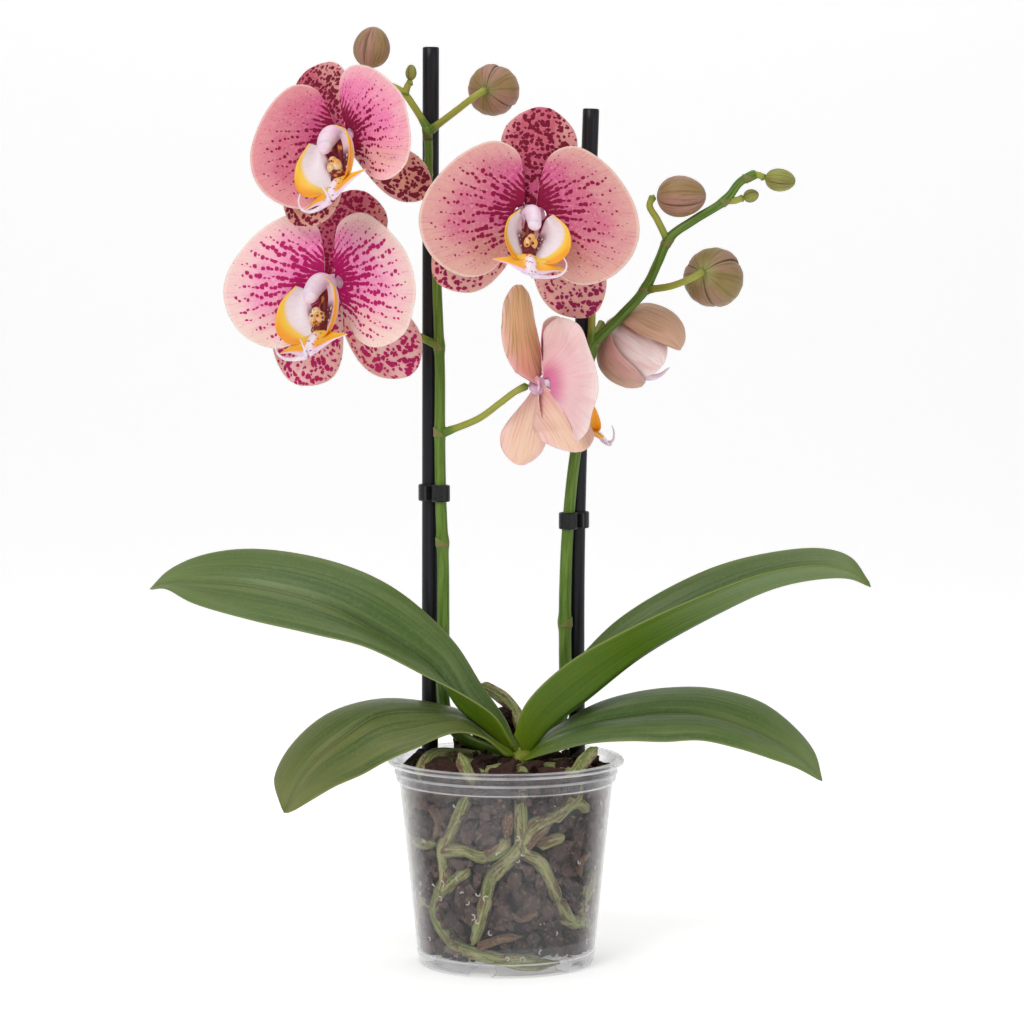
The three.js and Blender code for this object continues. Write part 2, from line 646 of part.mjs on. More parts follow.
// The petals entry holds how far the left and the right petal lean back, in degrees.
const BLOOMS = [
  {
    name: 'bloom_upper_left',
    centre: [-80.1, -18, 418.3],
    scale: 0.9,
    yaw: -24,
    roll: 8,
    petals: [-22, -22],
    sepals: [
      { angle: 114, length: 51, half: 18, sweep: 24, twist: 0 },
      { angle: -132, length: 57, half: 17, sweep: -4, twist: 0 },
      { angle: -43, length: 56, half: 14, sweep: 14, twist: 0 },
    ],
    lip: { roll: 13, scale: 1.1 },
  },
  {
    name: 'bloom_lower_left',
    centre: [-87.6, -2, 345.2],
    scale: 1,
    yaw: -21,
    roll: 3,
    petals: [-16, -16],
    sepals: [
      { angle: 69, length: 51, half: 15, sweep: 20, twist: 0 },
      { angle: -121, length: 57, half: 20, sweep: 8, twist: 0 },
      { angle: -52, length: 60, half: 18, sweep: 12, twist: 0 },
    ],
    lip: { roll: 0, scale: 1.15 },
  },
  {
    name: 'bloom_centre',
    centre: [11.9, -35, 379.7],
    scale: 1,
    yaw: -2,
    roll: -4,
    petals: [-4, -4],
    sepals: [
      { angle: 87, length: 54, half: 19, sweep: 8, twist: 0 },
      { angle: -142, length: 58, half: 17, sweep: 10, twist: 0 },
      { angle: -54, length: 59, half: 17, sweep: 10, twist: 0 },
    ],
    lip: { roll: 0, scale: 1.04 },
  },
  {
    name: 'bloom_side',
    centre: [17.6, -15, 294.6],
    scale: 0.96,
    yaw: 100,
    roll: 0,
    petals: [-18, -16],
    sepals: [
      { angle: 88, length: 51, half: 18, sweep: 10, twist: 50 },
      { angle: -122, length: 52, half: 18, sweep: -4, twist: 75 },
      { angle: -70, length: 52, half: 13, sweep: 7, twist: 40 },
    ],
    lip: { roll: 0, scale: 1.12 },
  },
];

function petalSurface(side, sweep) {
  const turn = radians(sweep);
  return (u, v) => {
    const margin = PETAL_MARGIN.getPoint(side < 0 ? 1 - v : v);
    const flat = PETAL_CLAW.clone().lerp(margin, lerp(PETAL.claw, 1, u));
    const dome = 2.2 * Math.sin(Math.PI * Math.min(u * 1.1, 1)) * Math.min(flat.x / 20, 1);
    const ruffle = 0.9 * Math.sin(v * 5 * Math.PI) * u ** 3;
    const reach = flat.x - PETAL_CLAW.x;
    const x = PETAL_CLAW.x + reach * Math.cos(turn) + (dome + ruffle) * Math.sin(turn);
    const z = PETAL.lift - reach * Math.sin(turn) + (dome + ruffle) * Math.cos(turn);
    return vec(side * x, flat.y, z);
  };
}

function sepalSurface({ angle, length, half, sweep, twist }) {
  const direction = vec(Math.cos(radians(angle)), Math.sin(radians(angle)), 0);
  const across = vec(-direction.y, direction.x, 0);
  const back = vec(0, 0, -1);
  return (u, v) => {
    const side = v * 2 - 1;
    const width = half * SEPAL_WIDTHS.getPoint(u).y;
    const along = length * SEPAL_WIDTHS.getPoint(u).x;
    const lean = radians(twist) * Math.min(u * 2, 1);
    const bow = 2.5 * side ** 2 * (width / half) + 2 * Math.sin(Math.PI * u) * -0.6;
    return vec(0, 0, SEPAL.lift)
      .addScaledVector(direction, along * Math.cos(radians(sweep)))
      .addScaledVector(back, along * Math.sin(radians(sweep)) + bow)
      .addScaledVector(across, width * side * Math.cos(lean))
      .addScaledVector(back, width * side * Math.sin(lean));
  };
}

function petalsGeometry({ petals, sepals }) {
  const thin = () => PETAL.thickness;
  const pair = [-1, 1].map((side, index) => {
    return solidFrom(blade(petalSurface(side, petals[index]), PETAL.rows, PETAL.cols, thin));
  });
  const three = sepals.map((sepal) => (
    solidFrom(blade(sepalSurface(sepal), SEPAL.rows, SEPAL.cols, () => SEPAL.thickness))));
  const hub = solidFrom(ellipsoid(vec(0, 0, HUB_DEPTH), HUB, 7, 5));
  return geometryFrom(unite([hub, ...pair, ...three]));
}

// The lip starts at the hub's front, where its own z is 0.
// One ear of the lip, curving forward from the throat round the side of the column.
function lipLobeSurface(side) {
  const inner = new THREE.CatmullRomCurve3(vectors([[1, -21, 9.5], [3, -15, 7], [5.6, -8, 5.5], [7.4, -2, 6]]));
  const outer = new THREE.CatmullRomCurve3(vectors([[5, -25, 14], [15, -20, 14.5], [17.5, -10, 12],
    [13, -1.5, 10], [8, 1.5, 8]]));
  return (u, v) => {
    const point = inner.getPoint(v).lerp(outer.getPoint(v), u);
    point.z -= 2.2 * Math.sin(Math.PI * u);
    point.x *= side;
    return point;
  };
}

// The lip's middle lobe, reaching forward and down, with two broad wings near its base.
function lipMiddleSurface() {
  const spine = new THREE.CatmullRomCurve3(vectors([[0, -20, 9], [0, -23.5, 13], [0, -27, 18.5], [0, -30, 23]]));
  const widths = new THREE.SplineCurve([[0, 3], [0.25, 12], [0.45, 14], [0.7, 8], [1, 2]]
    .map(([t, w]) => new THREE.Vector2(t, w)));
  return (u, v) => {
    const side = v * 2 - 1;
    const width = widths.getPoint(u).y;
    return spine.getPoint(u).add(vec(width * side, -1.8 * side ** 2 + 1.4, 0));
  };
}

function lipGeometry() {
  const thin = () => LIP.thickness;
  const column = stalk(vectors([[0, 0, 0], [0, 1.4, 4], [0, -1.2, 9]]), 3.4, 2.6, 6, 2);
  const claw = stalk(vectors([[0, -2, 2.3], [0, -12, 4], [0, -20.6, 10]]), 2, 3.2, 4, 2);
  const lobes = [-1, 1].map((side) => blade(lipLobeSurface(side), 2, 4, thin));
  const middle = blade(lipMiddleSurface(), 3, 4, thin);
  const cirri = [-1, 1].map((side) => stalk(
    vectors([[side, -30, 22], [side * 7, -31.5, 23], [side * 12.5, -28, 21.5], [side * 12, -23, 20]]),
    1, 0.5, 3, 4));
  return geometryFrom(unite([column, claw, ...lobes, middle, ...cirri].map(solidFrom)));
}

function placeBloom(mesh, { centre, yaw }, roll, scale) {
  mesh.position.set(...centre);
  mesh.rotation.set(Math.PI / 2, -radians(roll), radians(yaw), 'ZYX');
  mesh.scale.setScalar(scale);
  return mesh;
}

function makeBloom(bloom) {
  const petals = makeMesh(`${bloom.name}_petals`, petalsGeometry(bloom), COLOURS.petals);
  const lip = makeMesh(`${bloom.name}_lip`, lipGeometry(), COLOURS.lip);
  placeBloom(petals, bloom, bloom.roll, bloom.scale);
  placeBloom(lip, bloom, bloom.roll + bloom.lip.roll, bloom.lip.scale);
  return [petals, lip.translateZ((HUB_DEPTH + HUB.z) * bloom.scale + GAP)];
}

// ---------------------------------------------------------------------------------------------
// Half-open bloom and buds: local z along the flower's axis, from its stalk outwards
// ---------------------------------------------------------------------------------------------

const OPENING = {
  base: [50.5, 24, 324],
  axis: [0.82, -0.08, -0.57],
  sepals: [
    { turn: 2.95, swell: 24, fan: 0.62, length: 39 },
    { turn: -0.25, swell: 16.5, fan: 0.9, length: 36 },
    { turn: 1.5, swell: 16.5, fan: 0.8, length: 36 },
  ],
};

// One cupped sepal that stands off the closed petals: where it turns to, how far it swells out and
// how wide it fans round the axis.
function cuppedSurface({ turn, swell, fan, length }) {
  return (u, v) => {
    const reach = 1 + (swell + 1) * Math.sin(Math.PI * (0.04 + 0.73 * u));
    const angle = turn + (v * 2 - 1) * fan * Math.sin(Math.PI * (0.1 + 0.8 * u));
    return vec(reach * Math.cos(angle), reach * Math.sin(angle), 1.5 + length * u);
  };
}

function alignTo(geometry, base, axis) {
  const turn = new THREE.Quaternion().setFromUnitVectors(vec(0, 0, 1), vec(...axis).normalize());
  return geometry.applyQuaternion(turn).translate(...base);
}

function makeOpeningBloom() {
  const heart = ellipsoid(vec(0, 0, 19), vec(13.5, 13.5, 18), 8, 7);
  const base = ellipsoid(vec(0, 0, 4.3), vec(7, 7, 4.5), 8, 4);
  const sepals = OPENING.sepals.map((sepal) => blade(cuppedSurface(sepal), 5, 4, () => 1));
  const whole = geometryFrom(unite([heart, base, ...sepals].map(solidFrom)));
  return makeMesh('bloom_opening', alignTo(whole, OPENING.base, OPENING.axis), COLOURS.petals);
}

const BUDS = [
  { name: 'bud_left_high', base: [-69.4, 4.9, 453.6], axis: [0.18, 0, 1], length: 21, radius: 9.8 },
  { name: 'bud_left_tip', base: [-48.1, 8, 447.4], axis: [0.05, 0, 1], length: 8, radius: 3 },
  { name: 'bud_left_right', base: [-10.4, -0.7, 442.4], axis: [0.3, 0.9, 0.05], length: 27, radius: 13.8 },
  { name: 'bud_right_high', base: [75.9, 10, 389.4], axis: [1, 0, 0.02], length: 25, radius: 11.2 },
  { name: 'bud_right_low', base: [99.4, 5.4, 351.5], axis: [0.42, 0.86, -0.2], length: 31, radius: 16.2 },
  { name: 'bud_right_far', base: [130.5, 8, 398.8], axis: [1, 0, -0.12], length: 15.5, radius: 6.2 },
  { name: 'bud_right_tip', base: [119.7, 9, 388.8], axis: [0.95, 0, 0.25], length: 8, radius: 3.6 },
];

// A closed bud: round near its base and drawn in towards its tip, with three shallow seams.
function budGeometry({ length, radius }) {
  const small = radius < 5;
  const geometry = new THREE.SphereGeometry(1, small ? 6 : 12, small ? 5 : 6).rotateX(Math.PI / 2);
  const position = geometry.attributes.position;
  for (let i = 0; i < position.count; i += 1) {
    const point = new THREE.Vector3().fromBufferAttribute(position, i);
    const height = (point.z + 1) / 2;
    const seam = 1 - 0.035 * Math.abs(Math.cos(1.5 * Math.atan2(point.y, point.x))) ** 6;
    const swell = radius * (1.04 - 0.16 * height) * seam;
    position.setXYZ(i, point.x * swell, point.y * swell, height * length);
  }
  return geometry;
}

function makeBud(bud) {
  const solid = geometryFrom(solidFrom(budGeometry(bud)));
  const raised = vec(...bud.axis).normalize().multiplyScalar(GAP).add(vec(...bud.base));
  return makeMesh(bud.name, alignTo(solid, raised.toArray(), bud.axis), COLOURS.bud);
}

// ---------------------------------------------------------------------------------------------
// The whole plant
// ---------------------------------------------------------------------------------------------

const grownRoots = rootsSolid(GAP);
const grownStem = stemSolid(GAP);

const orchid = new THREE.Group();
orchid.add(
  makePot(),
  makeBark(),
  makeMesh('roots', geometryFrom(rootsSolid(0)), COLOURS.roots),
  makeStemBase(grownRoots),
  ...makeLeaves(),
  ...SPIKES.map((spike) => makeSpike(spike, unite([grownStem, grownRoots]))),
  ...STAKES.map(makeStake),
  ...CLIPS.map(makeClip),
  ...BLOOMS.flatMap(makeBloom),
  makeOpeningBloom(),
  ...BUDS.map(makeBud),
);

export default orchid;
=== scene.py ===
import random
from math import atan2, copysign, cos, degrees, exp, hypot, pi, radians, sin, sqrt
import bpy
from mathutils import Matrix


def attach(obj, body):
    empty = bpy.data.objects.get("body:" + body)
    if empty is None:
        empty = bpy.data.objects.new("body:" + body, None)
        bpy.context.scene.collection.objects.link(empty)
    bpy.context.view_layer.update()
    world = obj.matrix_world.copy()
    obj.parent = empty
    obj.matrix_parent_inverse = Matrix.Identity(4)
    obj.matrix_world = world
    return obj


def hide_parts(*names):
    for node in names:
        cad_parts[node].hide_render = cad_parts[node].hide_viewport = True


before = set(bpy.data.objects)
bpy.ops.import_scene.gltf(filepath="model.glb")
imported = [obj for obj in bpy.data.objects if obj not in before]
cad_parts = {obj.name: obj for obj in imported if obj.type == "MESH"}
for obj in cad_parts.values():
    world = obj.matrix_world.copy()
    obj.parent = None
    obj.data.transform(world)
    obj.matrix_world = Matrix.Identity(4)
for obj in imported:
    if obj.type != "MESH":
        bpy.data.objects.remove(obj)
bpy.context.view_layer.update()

# A potted moth orchid: the looks of its blooms, buds, leaves, spikes, roots, bark and clear pot.
# Lengths are in millimetres and become metres where a mesh is made. +Z is up, the front is -Y.

from types import SimpleNamespace

import bmesh
import bpy
from mathutils import Matrix, Vector, noise
from mathutils.kdtree import KDTree

MM = 0.001
MERGE_DISTANCE = 0.00002

# ---- Camera, light and floor ----

CAMERA_PLACE = (3, -1700, 361)
CAMERA_PITCH = 4.4
CAMERA_LENS = 118.3
LIT_POINT = (0, 0, 250)
FLOOR_WHITE = 0.93


def to_metres(point):
    return Vector(point) * MM


def set_inputs(node, values):
    """Sets a node's own inputs, by their names."""
    for name, value in values.items():
        node.inputs[name].default_value = value


def placed(name, data):
    """A new object that shows the data, in the scene."""
    thing = bpy.data.objects.new(name, data)
    bpy.context.collection.objects.link(thing)
    return thing


def add_camera():
    data = bpy.data.cameras.new("camera")
    data.lens = CAMERA_LENS
    data.sensor_width = 36
    camera = placed("camera", data)
    camera.location = to_metres(CAMERA_PLACE)
    camera.rotation_euler = (radians(90 - CAMERA_PITCH), 0, 0)
    bpy.context.scene.camera = camera


def add_softbox(name, place, size, power):
    """A round lamp that shines at the middle of the plant."""
    data = bpy.data.lights.new(name, "AREA")
    data.shape = "DISK"
    data.size = size
    data.energy = power
    lamp = placed(name, data)
    lamp.location = to_metres(place)
    lamp.rotation_euler = (to_metres(LIT_POINT) - lamp.location).to_track_quat("-Z", "Y").to_euler()


def add_studio():
    add_softbox("key_light", (-800, -1400, 1500), 1.0, 16.5)
    add_softbox("fill_light", (1400, -1100, 600), 1.4, 4)
    add_softbox("top_light", (100, 100, 1700), 1.0, 6)
    world = bpy.data.worlds.new("studio_air")
    world.use_nodes = True
    set_inputs(world.node_tree.nodes["Background"], {"Color": (1, 1, 1, 1), "Strength": 0.38})
    bpy.context.scene.world = world
    bpy.context.scene.view_settings.view_transform = "Standard"


def add_floor():
    """A pale sheet that lies under the pot and rises in a wide bend behind it."""
    bend, depth, half, rise = 0.9, 1.6, 5.0, 4.0
    profile = [(-3.5, 0.0), (depth, 0.0)]
    for step in range(1, 13):
        turn = radians(90 * step / 12)
        profile.append((depth + bend * sin(turn), bend * (1 - cos(turn))))
    profile.append((depth + bend, rise))
    verts = [(x, y, z) for y, z in profile for x in (-half, half)]
    faces = [(2 * i, 2 * i + 1, 2 * i + 3, 2 * i + 2) for i in range(len(profile) - 1)]
    data = bpy.data.meshes.new("floor")
    data.from_pydata(verts, [], faces)
    data.polygons.foreach_set("use_smooth", [True] * len(faces))
    floor = placed("floor", data)
    paint = bpy.data.materials.new("floor_paper")
    paint.use_nodes = True
    set_inputs(paint.node_tree.nodes["Principled BSDF"], {
        "Base Color": (FLOOR_WHITE, FLOOR_WHITE, FLOOR_WHITE, 1), "Roughness": 0.9,
        "Specular IOR Level": 0.1, "Emission Color": (1, 1, 1, 1), "Emission Strength": 0.345})
    data.materials.append(paint)


# ---- Curves and meshes ----

def lerp(a, b, t):
    return a + (b - a) * t


def turned(angle, axis):
    """A turn about an axis, in degrees."""
    return Matrix.Rotation(radians(angle), 4, axis)


def tapered(path, thick, thin, bend=1.0):
    """A radius for each point of a path, from thick to thin."""
    last = len(path) - 1
    return [lerp(thick, thin, (k / last) ** bend) for k in range(len(path))]


def smooth(low, high, value):
    t = min(max((value - low) / (high - low), 0.0), 1.0)
    return t * t * (3 - 2 * t)


def even_spline(points, t):
    """A point on a smooth curve whose given points are evenly spaced in t."""
    last = len(points) - 1
    place = min(max(t, 0.0), 1.0) * last
    i = min(int(place), last)
    w = place - i
    p0, p1 = points[max(i - 1, 0)], points[i]
    p2, p3 = points[min(i + 1, last)], points[min(i + 2, last)]
    result = []
    for a, b, c, d in zip(p0, p1, p2, p3):
        v0, v1 = (c - a) / 2, (d - b) / 2
        result.append((2 * b - 2 * c + v0 + v1) * w ** 3 + (3 * c - 3 * b - 2 * v0 - v1) * w ** 2
                      + v0 * w + b)
    return result


def rail_point(points, t):
    """A point on a curve through the given points that doesn't overshoot at uneven spacing."""
    last = len(points) - 1
    place = min(max(t, 0.0), 1.0) * last
    i = min(int(place), last - 1)
    w = place - i
    p1, p2 = Vector(points[i]), Vector(points[i + 1])
    p0 = Vector(points[i - 1]) if i > 0 else p1 * 2 - p2
    p3 = Vector(points[i + 2]) if i + 2 <= last else p2 * 2 - p1
    d0, d1, d2 = ((q - p).length ** 0.5 or 1.0 for p, q in ((p0, p1), (p1, p2), (p2, p3)))
    t1 = ((p1 - p0) / d0 - (p2 - p0) / (d0 + d1) + (p2 - p1) / d1) * d1
    t2 = ((p2 - p1) / d1 - (p3 - p1) / (d1 + d2) + (p3 - p2) / d2) * d1
    return (p1 + t1 * w + (3 * (p2 - p1) - 2 * t1 - t2) * w ** 2
            + (2 * (p1 - p2) + t1 + t2) * w ** 3)


def spaced_points(points, spacing):
    """Points at an even distance along the curve through the given points."""
    parts = 24 * (len(points) - 1)
    fine = [rail_point(points, k / parts) for k in range(parts + 1)]
    lengths = [0.0]
    for a, b in zip(fine, fine[1:]):
        lengths.append(lengths[-1] + (b - a).length)
    count = max(2, round(lengths[-1] / spacing))
    result, at = [], 0
    for k in range(count + 1):
        goal = lengths[-1] * k / count
        while at < parts - 1 and lengths[at + 1] < goal:
            at += 1
        step = max(lengths[at + 1] - lengths[at], 1e-9)
        result.append(fine[at].lerp(fine[at + 1], (goal - lengths[at]) / step))
    return result


class Form:
    """Collects points in millimetres, faces, face finishes and three coordinate maps."""

    def __init__(self):
        self.points, self.faces, self.finishes = [], [], []
        self.maps = {"rows": [], "flat": [], "edge": []}

    def add(self, points, faces, finishes, maps, place=None):
        start = len(self.points)
        self.points += [place @ Vector(p) if place else Vector(p) for p in points]
        self.faces += [tuple(start + k for k in face) for face in faces]
        self.finishes += finishes
        for kept, values in zip(self.maps.values(), maps):
            kept += values

    def blade(self, surface, rows, cols, thickness, finishes, place=None, maps=None):
        """A closed thin sheet over u and v in 0..1: a finish for each face, the lower at its edges."""
        wide = cols + 1
        spots = [(i, j) for i in range(rows + 1) for j in range(wide)]
        grid = [Vector(surface(i / rows, j / cols)) for i, j in spots]
        normals, faces = [], []
        half = len(grid)
        for i, j in spots:
            along = grid[min(i + 1, rows) * wide + j] - grid[max(i - 1, 0) * wide + j]
            across = grid[i * wide + min(j + 1, cols)] - grid[i * wide + max(j - 1, 0)]
            normals.append(along.cross(across).normalized())
            if i < rows and j < cols:
                a = i * wide + j
                b, c, d = a + wide, a + wide + 1, a + 1
                faces += [(a, b, c, d), (a + half, d + half, c + half, b + half)]
        sides = [thickness(i / rows, j / cols) / 2 for i, j in spots]
        points = [p + n * s for p, n, s in zip(grid, normals, sides)]
        points += [p - n * s for p, n, s in zip(grid, normals, sides)]
        edge = [i * wide for i in range(rows + 1)] + [rows * wide + j for j in range(1, wide)]
        edge += [i * wide + cols for i in range(rows - 1, -1, -1)] + list(range(cols - 1, 0, -1))
        faces += [(p, p + half, q + half, q) for p, q in zip(edge, edge[1:] + edge[:1])]
        marks = list(finishes) * (rows * cols) + [min(finishes)] * len(edge)
        uv = [(j / cols, i / rows) for i, j in spots]
        layers = [[point_map(u, v) for v, u in uv] * 2 for point_map in maps] if maps else [uv * 2] * 3
        self.add(points, faces, marks, layers, place)

    def ball(self, centre, radii, finish, segments=24, rings=16, shape=None, place=None):
        """A closed round body; shape may move each of its points."""
        points, rows = [], []
        for i in range(1, rings):
            down = pi * i / rings
            for j in range(segments):
                turn = 2 * pi * j / segments
                points.append(Vector((sin(down) * cos(turn), sin(down) * sin(turn), -cos(down))))
                rows.append((j / segments, i / rings))
        points += [Vector((0, 0, -1)), Vector((0, 0, 1))]
        rows += [(0.5, 0.0), (0.5, 1.0)]
        low, high = len(points) - 2, len(points) - 1
        faces = []
        for j in range(segments):
            k = (j + 1) % segments
            faces.append((low, k, j))
            top = (rings - 2) * segments
            faces.append((high, top + j, top + k))
            for i in range(rings - 2):
                a = i * segments
                faces.append((a + j, a + k, a + segments + k, a + segments + j))
        moved = [shape(p) if shape else p for p in points]
        scaled = [Vector(centre) + Vector((p.x * radii[0], p.y * radii[1], p.z * radii[2]))
                  for p in moved]
        self.add(scaled, faces, [finish] * len(faces), [rows] * 3, place)

    def tube(self, path, radii, finish, sides, place):
        """A round stalk along a path, with a radius for each point and rounded ends."""
        points, rows, faces = [], [], []
        last = len(path) - 1
        normal = (path[1] - path[0]).normalized().orthogonal().normalized()
        for i, centre in enumerate(path):
            tangent = (path[min(i + 1, last)] - path[max(i - 1, 0)]).normalized()
            normal = (normal - tangent * normal.dot(tangent)).normalized()
            other = tangent.cross(normal)
            for k in range(sides):
                turn = 2 * pi * k / sides
                points.append(centre + radii[i] * (normal * cos(turn) + other * sin(turn)))
                rows.append((k / sides, i / last))
        ring = [(k, (k + 1) % sides) for k in range(sides)]
        for i in range(last):
            low, high = i * sides, (i + 1) * sides
            faces += [(low + k, low + j, high + j, high + k) for k, j in ring]
        end = len(points)
        for tip, inner, radius in ((path[0], path[1], radii[0]), (path[-1], path[-2], radii[-1])):
            points.append(tip + (tip - inner).normalized() * radius * 0.35)
        rows += [(0.5, 0.0), (0.5, 1.0)]
        for k, j in ring:
            faces += [(end, j, k), (end + 1, last * sides + k, last * sides + j)]
        self.add(points, faces, [finish] * len(faces), [rows] * 3, place)

    def lathe(self, profile, segments, finishes, wobble=None):
        """A closed ring profile of (radius, height) turned about the Z axis."""
        points, rows, faces, marks = [], [], [], []
        count = len(profile)
        for j in range(segments):
            turn = 2 * pi * j / segments
            for i, (radius, z) in enumerate(profile):
                reach = radius + (wobble(turn, radius, z) if wobble else 0.0)
                points.append(Vector((reach * cos(turn), reach * sin(turn), z)))
                rows.append((j / segments, i / count))
        for j in range(segments):
            k = (j + 1) % segments
            for i in range(count):
                n = (i + 1) % count
                faces.append((j * count + i, k * count + i, k * count + n, j * count + n))
                marks.append(finishes[i])
        self.add(points, faces, marks, [rows] * 3)

    def make(self, name, materials):
        """One piece of all that was added."""
        mesh = bpy.data.meshes.new(name)
        mesh.from_pydata([p * MM for p in self.points], [], self.faces)
        mesh.polygons.foreach_set("material_index", self.finishes)
        mesh.polygons.foreach_set("use_smooth", [True] * len(self.faces))
        corners = [0] * len(mesh.loops)
        mesh.loops.foreach_get("vertex_index", corners)
        for title, source in self.maps.items():
            layer = mesh.uv_layers.new(name=title)
            layer.data.foreach_set("uv", [part for k in corners for part in source[k]])
        for material in materials:
            mesh.materials.append(material)
        mesh.validate()
        turn_out(mesh)
        return placed(name, mesh)


def turn_out(mesh, merged=False):
    """Turns every face of a mesh outwards, after merging its doubles where asked."""
    body = bmesh.new()
    body.from_mesh(mesh)
    if merged:
        bmesh.ops.remove_doubles(body, verts=body.verts, dist=MERGE_DISTANCE)
    bmesh.ops.recalc_face_normals(body, faces=body.faces)
    body.to_mesh(mesh)
    body.free()


def close_up(piece):
    """Merges a piece's doubles and turns its faces outwards."""
    turn_out(piece.data, True)
    return piece


def solid_piece(body, name):
    """A piece from a body of loose faces, turned outwards."""
    bmesh.ops.recalc_face_normals(body, faces=body.faces)
    mesh = bpy.data.meshes.new(name)
    body.to_mesh(mesh)
    body.free()
    return placed(name, mesh)


def seat(piece, slot, *nodes):
    """The piece rides on the plant and stands for the given nodes."""
    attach(piece, "root")
    if nodes:
        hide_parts(*nodes)


# ---- Finishes ----

class Finish:
    """A material under construction, with short calls for the nodes it needs."""

    def __init__(self, name, roughness=0.5, specular=0.5):
        self.material = bpy.data.materials.new(name)
        self.material.use_nodes = True
        self.tree = self.material.node_tree
        self.shader = self.tree.nodes["Principled BSDF"]
        set_inputs(self.shader, {"Roughness": roughness, "Specular IOR Level": specular})

    def node(self, kind, **settings):
        node = self.tree.nodes.new(kind)
        for key, value in settings.items():
            setattr(node, key, value)
        return node

    def join(self, source, target):
        self.tree.links.new(source, target)

    def feed(self, socket, value):
        """Gives a socket the value of another one, or a number or a colour of its own."""
        if isinstance(value, bpy.types.NodeSocket):
            self.join(value, socket)
        else:
            socket.default_value = (*value, 1) if isinstance(value, tuple) else value

    def math(self, operation, a, b=0.0, clamp=False):
        node = self.node("ShaderNodeMath", operation=operation, use_clamp=clamp)
        self.feed(node.inputs[0], a)
        self.feed(node.inputs[1], b)
        return node.outputs[0]

    def times(self, a, b):
        return self.math("MULTIPLY", a, b)

    def plus(self, a, b):
        return self.math("ADD", a, b)

    def minus(self, a, b):
        return self.math("SUBTRACT", a, b)

    def length(self, x, y):
        """How long a step of x and y is."""
        return self.math("SQRT", self.plus(self.times(x, x), self.times(y, y)))

    def swing(self, value, amount):
        """Centres a value of 0 to 1 on zero, and scales it."""
        return self.times(self.minus(value, 0.5), amount)

    def ramp(self, value, low, high, start=0.0, end=1.0):
        """Runs from start to end while value goes from low to high, gently at both ends."""
        node = self.node("ShaderNodeMapRange", interpolation_type="SMOOTHSTEP")
        for socket, number in zip(node.inputs[:5], (value, low, high, start, end)):
            self.feed(socket, number)
        return node.outputs[0]

    def mix(self, share, a, b):
        node = self.node("ShaderNodeMix", data_type="RGBA")
        self.feed(node.inputs["Factor"], share)
        self.feed(node.inputs[6], a)
        self.feed(node.inputs[7], b)
        return node.outputs[2]

    def lay(self, tone, colour, amount, *span):
        """Lays a colour over a tone where a ramp runs up, and never by more than the amount."""
        return self.mix(self.times(self.ramp(*span), amount), tone, colour)

    def parts(self, vector):
        """A vector's three numbers."""
        node = self.node("ShaderNodeSeparateXYZ")
        self.join(vector, node.inputs[0])
        return node.outputs

    def map_parts(self, title):
        """A named map, and its two coordinates."""
        uv = self.node("ShaderNodeUVMap", uv_map=title).outputs[0]
        x, y, _ = self.parts(uv)
        return uv, x, y

    def vector(self, x, y, z=0.0):
        node = self.node("ShaderNodeCombineXYZ")
        for socket, value in zip(node.inputs, (x, y, z)):
            self.feed(socket, value)
        return node.outputs[0]

    def object_place(self, scale=(1, 1, 1)):
        place = self.node("ShaderNodeTexCoord")
        mapping = self.node("ShaderNodeMapping")
        mapping.inputs["Scale"].default_value = scale
        self.join(place.outputs["Object"], mapping.inputs["Vector"])
        return mapping.outputs[0]

    def stem_place(self, around, along):
        """Round and along a swept stem: the noted section place, and the noted length in metres."""
        section = self.node("ShaderNodeAttribute", attribute_name="around")
        length = self.node("ShaderNodeAttribute", attribute_name="along")
        x, y, _ = self.parts(section.outputs["Vector"])
        return self.vector(self.times(x, around), self.times(y, around),
                           self.times(length.outputs["Fac"], along))

    def noise(self, vector, scale, detail=3.0, roughness=0.55):
        node = self.node("ShaderNodeTexNoise")
        self.join(vector, node.inputs["Vector"])
        set_inputs(node, {"Scale": scale, "Detail": detail, "Roughness": roughness})
        return node.outputs[0]

    def streaks(self, x, x_scale, y, y_scale, detail):
        """Noise over two coordinates, drawn out along the one with the lower scale."""
        return self.noise(self.vector(self.times(x, x_scale), self.times(y, y_scale)), 1.0, detail)

    def cells(self, vector, scale, randomness=1.0, dimensions="3D"):
        node = self.node("ShaderNodeTexVoronoi", feature="F1", voronoi_dimensions=dimensions)
        self.join(vector, node.inputs["Vector"])
        set_inputs(node, {"Scale": scale, "Randomness": randomness})
        return node.outputs["Distance"], self.parts(node.outputs["Color"])[0]

    def steps(self, value):
        """The whole number below a value, and how far the value is from the middle of its step."""
        return self.math("FLOOR", value), self.minus(self.math("FRACT", value), 0.5)

    def chances(self, x, y):
        """Three random numbers, the same for the same pair of whole numbers."""
        node = self.node("ShaderNodeTexWhiteNoise", noise_dimensions="2D")
        self.join(self.vector(x, y), node.inputs["Vector"])
        return self.parts(node.outputs["Color"])

    def colour(self, value):
        self.feed(self.shader.inputs["Base Color"], value)

    def bump(self, height, distance, strength):
        node = self.node("ShaderNodeBump")
        set_inputs(node, {"Distance": distance, "Strength": strength})
        self.join(height, node.inputs["Height"])
        self.join(node.outputs[0], self.shader.inputs["Normal"])

    def done(self, tone, height, distance, strength):
        """The material, once it has its colour and its bump."""
        self.colour(tone)
        self.bump(height, distance, strength)
        return self.material

    def glow_through(self, share, radius):
        """Lets a little light spread inside, as it does in petals and leaves."""
        set_inputs(self.shader, {"Subsurface Weight": share, "Subsurface Radius": radius,
                                 "Subsurface Scale": 0.002})


